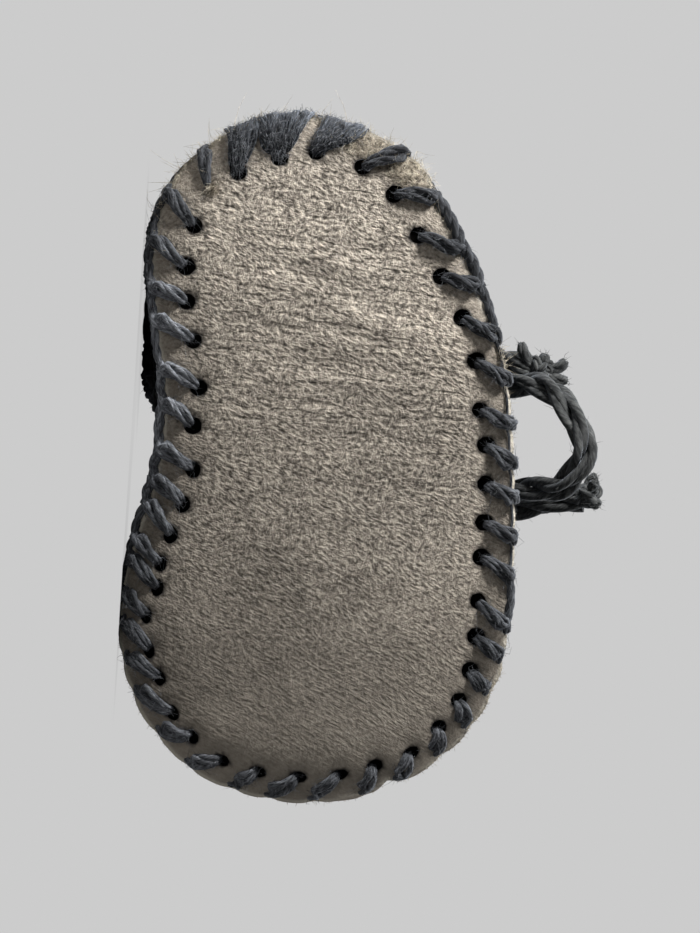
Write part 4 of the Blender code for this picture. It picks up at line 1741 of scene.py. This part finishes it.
def knit_rows(patch, rounds, rows, ends_of, signs_of, yarn, depth, seed, relief=0.0):
    """Yarn of some of a patch's rows. Two functions give the ends of a row's stitches, and their signs."""
    draw = np.random.default_rng(seed)
    lines = []
    for number in rows:
        ends = ends_of(number)
        count = len(ends) - 1
        steps = count * LOOP_POINTS + (0 if patch.closed else 1)
        s = np.arange(steps) / LOOP_POINTS
        turn = 2 * math.pi * s
        width = np.diff(ends)[np.minimum(s.astype(int), count - 1)]
        uneven = draw.normal(0.0, LOOP_UNEVEN, count + 1)
        uneven[-1] = uneven[0]
        around = np.interp(s, np.arange(count + 1), ends) + LOOP_LEAN * width * np.sin(2 * turn)
        rise = -LOOP_HEIGHT * np.cos(turn) + np.interp(s, np.arange(count + 1), uneven)
        up = (number + 0.5 + rise) / rounds
        stitches = np.arange(-1, count + 1)
        edges = np.sort(np.concatenate([stitches + 0.5 - LOOP_HALF, stitches + 0.5 + LOOP_HALF]))
        sign = np.interp(s, edges, np.repeat(signs_of(number, stitches), 2))
        rough = draw.normal(0.0, LOOP_ROUGH, steps)
        out = -WALL / 2 - depth * np.cos(2 * turn) * sign + sign * relief + rough
        lines.append(place(off_floor(patch.at(up, around, out), yarn / 2)))
    return lines


class BOOTIE_OT_lining(bpy.types.Operator):
    """Make the shaded middle of the knitted wall, which shows between the loops"""

    bl_idname = "bootie.lining"
    bl_label = "Lining"

    def execute(self, context):
        mesh = bmesh.new()
        mesh.from_mesh(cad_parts["upper"].data)
        bmesh.ops.remove_doubles(mesh, verts=mesh.verts, dist=0.00001)
        bmesh.ops.recalc_face_normals(mesh, faces=mesh.faces)
        for vert in mesh.verts:
            vert.normal_update()
        for vert, outwards in [(vert, vert.normal.copy()) for vert in mesh.verts]:
            vert.co -= outwards * LINING_DEPTH
        data = bpy.data.meshes.new("lining")
        mesh.to_mesh(data)
        mesh.free()
        data.shade_smooth()
        finish = lining_finish(context.scene.bootie_yarn)
        add_piece("knit_lining", data, finish, ("upper",))
        return {"FINISHED"}


class BOOTIE_OT_foot(bpy.types.Operator):
    """Knit the foot and the flap over the instep"""

    bl_idname = "bootie.foot"
    bl_label = "Foot"

    def execute(self, context):
        settings = context.scene.bootie_yarn
        yarn = settings.knit_yarn / MM
        finish = wool_finish("knit_wool", settings.light, settings.dark, 3, 5.0, 0.0003)
        patch, flap = foot_patches()

        def ends(number):
            """Sides keep their stitches, and the toe loses some each round at its two corners."""
            shares, reach = patch.row_reach((number + 0.5) / FOOT_ROUNDS)
            corner = TOE_HALF_FOOT / OUTLINE.length
            span = np.interp(TOE_SHARE + corner, shares, reach) - np.interp(TOE_SHARE, shares, reach)
            toe_stitches = max(4, round(span / TOE_STITCH))
            front = np.linspace(-corner, corner, toe_stitches * 2 + 1)
            side = np.linspace(corner, 1 - corner, SIDE_STITCHES * 2 + 1)
            return np.concatenate([front, side[1:]]) + TOE_SHARE

        def garter(number, stitches):
            purl = number < GARTER_ROUNDS and number % 2 == 1
            return np.full(len(stitches), -1.0 if purl else 1.0)

        def flap_ends(number):
            return np.linspace(0.0, 1.0, FLAP_STITCHES + 1)

        fluff = fibre_finish("knit_fluff", settings.dark, [c * 1.4 for c in settings.light])
        draw = np.random.default_rng(72)
        middle = FOOT_ROUNDS // 2
        axis = (place((60.0, 20.0, 34.0)), (0.3, 1.0, 1.0))
        hairs = []
        for name, rows, seed in (
            ("knit_foot_low", range(middle), 31),
            ("knit_foot_high", range(middle, FOOT_ROUNDS), 40),
        ):
            lines = knit_rows(patch, FOOT_ROUNDS, rows, ends, garter, yarn, LOOP_DEPTH, seed)
            add_piece(name, tube_mesh(name, lines, settings.knit_yarn / 2, closed=True), finish)
            count = context.scene.bootie_fibre.knit_fibres * 3 // 8
            hairs += hairs_on(draw, lines, count, 0.003, centre=axis)
        lines = knit_rows(flap, FLAP_ROWS, range(FLAP_ROWS), flap_ends, all_plain, yarn, LOOP_DEPTH, 57)
        add_piece("knit_instep", tube_mesh("knit_instep", lines, settings.knit_yarn / 2), finish)
        hairs += hairs_on(draw, lines, 60, 0.003, centre=axis, points=3)
        add_hairs("knit_fluff", inside_edge(hairs, 0.8), WOOL_HAIR, fluff)
        return {"FINISHED"}


class BOOTIE_OT_cuff(bpy.types.Operator):
    """Knit the ribbed cuff"""

    bl_idname = "bootie.cuff"
    bl_label = "Cuff"

    def execute(self, context):
        settings = context.scene.bootie_yarn
        yarn = settings.knit_yarn / MM
        patch = Patch(upper_grid(CUFF_FOOT, UPPER_SECTIONS[-1].height, 60, 240), True)

        def ends(number):
            return np.linspace(0.0, 1.0, CUFF_STITCHES + 1)

        def rib(number, stitches):
            return np.where(stitches % (2 * RIB) < RIB, 1.0, -1.0)

        rows = range(CUFF_ROUNDS)
        lines = knit_rows(patch, CUFF_ROUNDS, rows, ends, rib, yarn, CUFF_LOOP_DEPTH, 41, RIB_RELIEF)
        wool = bpy.data.materials["knit_wool"]
        mesh = tube_mesh("knit_cuff", lines, settings.knit_yarn / 2, closed=True)
        add_piece("knit_cuff", mesh, wool)
        # The last round is bound off in a chain of two twisted yarns.
        edge = patch.at(1.0, np.linspace(0.0, 1.0, 289), -WALL / 2)
        chain = twisted(place(off_floor(edge, yarn)), 2, 0.0009, 0.0036)
        mesh = tube_mesh("knit_bind_off", chain, settings.knit_yarn * 0.55)
        add_piece("knit_bind_off", mesh, wool)
        draw = np.random.default_rng(71)
        axis = (place((37.0, 0.0, 23.7)), (1.0, 0.0, 1.0))
        count = context.scene.bootie_fibre.knit_fibres // 5
        hairs = hairs_on(draw, lines, count, 0.003, centre=axis, points=3)
        add_hairs("cuff_fluff", hairs, WOOL_HAIR, bpy.data.materials["knit_fluff"])
        return {"FINISHED"}


class BOOTIE_OT_ankle(bpy.types.Operator):
    """Run the cord round the ankle, under the bars of the eyelet round"""

    bl_idname = "bootie.ankle"
    bl_label = "Ankle cord"

    def execute(self, context):
        cord = context.scene.bootie_cord
        yarn = context.scene.bootie_yarn.knit_yarn
        radius = cord.diameter / MM / 2
        angle = np.linspace(0.0, 2 * math.pi, 181)
        ring = off_floor(self.neck_points(angle, 0.0, radius + 0.7), radius)
        lines, ply_radius = cord_lines(place(ring), cord)
        mesh = tube_mesh("ankle_cord", lines, ply_radius, detail=2)
        add_piece("ankle_cord_yarn", mesh, bpy.data.materials["cord_wool"], ("cord_round_ankle",))
        mesh = tube_mesh("ankle_bars", self.bars(yarn), yarn / 2)
        add_piece("ankle_bars", mesh, bpy.data.materials["knit_wool"])
        return {"FINISHED"}

    @staticmethod
    def neck_points(angle, rise, out):
        """Points at an angle round the neck of the upper, above its height and out from it."""
        neck = next(row for row in UPPER_SECTIONS if row.height == NECK_HEIGHT)
        half = np.array([(neck.front - neck.back) / 2, (neck.outer - neck.inner) / 2])
        middle = np.array([neck.back, neck.inner]) + half
        angle, rise, out = np.broadcast_arrays(angle, rise, out)
        circle = np.column_stack([np.cos(angle), np.sin(angle)])
        ring = middle + circle * half + unit(circle / half) * out[:, None]
        return np.column_stack([ring[:, 0], NECK_HEIGHT + rise, ring[:, 1]])

    def bars(self, yarn):
        """Bars of the eyelet round, which cross over the cord in pairs."""
        lines = []
        rises = np.array([-4.6, -3.6, -2.9, -1.7, 0.0, 1.7, 2.9, 3.6, 4.6])
        outs = np.array([-1.6, -0.6, 1.4, 4.2, 5.4, 4.2, 1.4, -0.6, -1.6])
        for number in range(EYELETS * 2):
            angle = 2 * math.pi * (number // 2 + 0.5 + (number % 2 - 0.5) * 0.24) / EYELETS
            points = off_floor(self.neck_points(angle, rises, outs), yarn / MM / 2)
            lines.append(even_line(place(smooth_rows(points, False, 3)), 18))
        return lines


class BOOTIE_OT_stage(bpy.types.Operator):
    """Set the floor, the backdrop and the lamps"""

    bl_idname = "bootie.stage"
    bl_label = "Stage"

    def execute(self, context):
        settings = context.scene.bootie_stage
        mesh = bmesh.new()
        bmesh.ops.create_circle(mesh, cap_ends=True, segments=64, radius=6.0)
        data = bpy.data.meshes.new("floor")
        mesh.to_mesh(data)
        mesh.free()
        floor = bpy.data.objects.new("floor", data)
        context.scene.collection.objects.link(floor)
        data.materials.append(self.floor_finish(settings))
        self.world(context, settings)
        for row in LAMPS:
            self.lamp(context, row, settings.key)
        return {"FINISHED"}

    @staticmethod
    def floor_finish(settings):
        """Pale floor of the backdrop's own tone, with a soft shadow where the shoe is near."""
        f = Finish("floor", Roughness=1.0, Specular_IOR_Level=0.0)
        f.colour((0.22, 0.22, 0.22))
        near = f.node("ShaderNodeAmbientOcclusion", {"samples": 12}, {"Distance": 0.009}, out="AO")
        tone = f.mix(f.spread(near, 0.1, 0.65, 0.87, 1.0), (0.0, 0.0, 0.0), tuple(settings.backdrop))
        glow = f.node("ShaderNodeEmission", {}, {"Color": tone, "Strength": 1.0})
        camera_ray = f.node("ShaderNodeLightPath", out="Is Camera Ray")
        mixed = f.node("ShaderNodeMixShader", {}, {0: camera_ray, 1: Socket(f, f.shader.outputs[0]), 2: glow})
        f.feed(f.tree.nodes["Material Output"].inputs["Surface"], mixed)
        return f.material

    @staticmethod
    def world(context, settings):
        """The backdrop as it is seen, and the cool light that it casts."""
        world = bpy.data.worlds.new("backdrop")
        context.scene.world = world
        world.use_nodes = True
        nodes = Nodes(world.node_tree)
        seen = nodes.tree.nodes["Background"]
        nodes.feed(seen.inputs["Color"], settings.backdrop)
        nodes.feed(seen.inputs["Strength"], 1.0)
        light = {"Color": (0.90, 0.95, 1.0), "Strength": settings.fill}
        cast = nodes.node("ShaderNodeBackground", {}, light)
        camera_ray = nodes.node("ShaderNodeLightPath", out="Is Camera Ray")
        sockets = {0: camera_ray, 1: cast, 2: Socket(nodes, seen.outputs[0])}
        mixed = nodes.node("ShaderNodeMixShader", {}, sockets)
        nodes.feed(nodes.tree.nodes["World Output"].inputs["Surface"], mixed)

    @staticmethod
    def lamp(context, row, key):
        light = bpy.data.lights.new(row.name, "AREA")
        light.shape = "DISK"
        light.size = row.size
        light.energy = key * row.share
        lamp = bpy.data.objects.new(row.name, light)
        context.scene.collection.objects.link(lamp)
        spot = Vector((row.x, row.y, row.z))
        aim = Vector((LAMP_AIM[0], CAD_BOX[0].y, LAMP_AIM[1])) - spot
        lamp.matrix_world = Matrix.Translation(spot) @ aim.to_track_quat("-Z", "Y").to_matrix().to_4x4()


class BOOTIE_PT_panel(bpy.types.Panel):
    """The steps of the bootie in the sidebar"""

    bl_idname = "BOOTIE_PT_panel"
    bl_label = "Knitted Bootie"
    bl_space_type = "VIEW_3D"
    bl_region_type = "UI"
    bl_category = "Bootie"

    def draw(self, context):
        for step in STEPS:
            self.layout.operator(step.bl_idname)
        for key in SETTINGS:
            box = self.layout.box()
            group = getattr(context.scene, key)
            for name in group.__annotations__:
                box.prop(group, name)


SETTINGS = {
    "bootie_sole": SoleSettings,
    "bootie_yarn": YarnSettings,
    "bootie_cord": CordSettings,
    "bootie_fibre": FibreSettings,
    "bootie_stage": StageSettings,
}
STEPS = [
    BOOTIE_OT_camera,
    BOOTIE_OT_cords,
    BOOTIE_OT_knots,
    BOOTIE_OT_sole,
    BOOTIE_OT_seam,
    BOOTIE_OT_rim_fibres,
    BOOTIE_OT_lining,
    BOOTIE_OT_foot,
    BOOTIE_OT_cuff,
    BOOTIE_OT_ankle,
    BOOTIE_OT_stage,
]


def register():
    for kind in [*SETTINGS.values(), *STEPS, BOOTIE_PT_panel]:
        bpy.utils.register_class(kind)
    for key, kind in SETTINGS.items():
        setattr(bpy.types.Scene, key, PointerProperty(type=kind))


def unregister():
    for key in SETTINGS:
        delattr(bpy.types.Scene, key)
    for kind in reversed([*SETTINGS.values(), *STEPS, BOOTIE_PT_panel]):
        bpy.utils.unregister_class(kind)


def main():
    register()
    for step in STEPS:
        group, name = step.bl_idname.split(".")
        getattr(getattr(bpy.ops, group), name)()


if __name__ == "__main__":
    main()
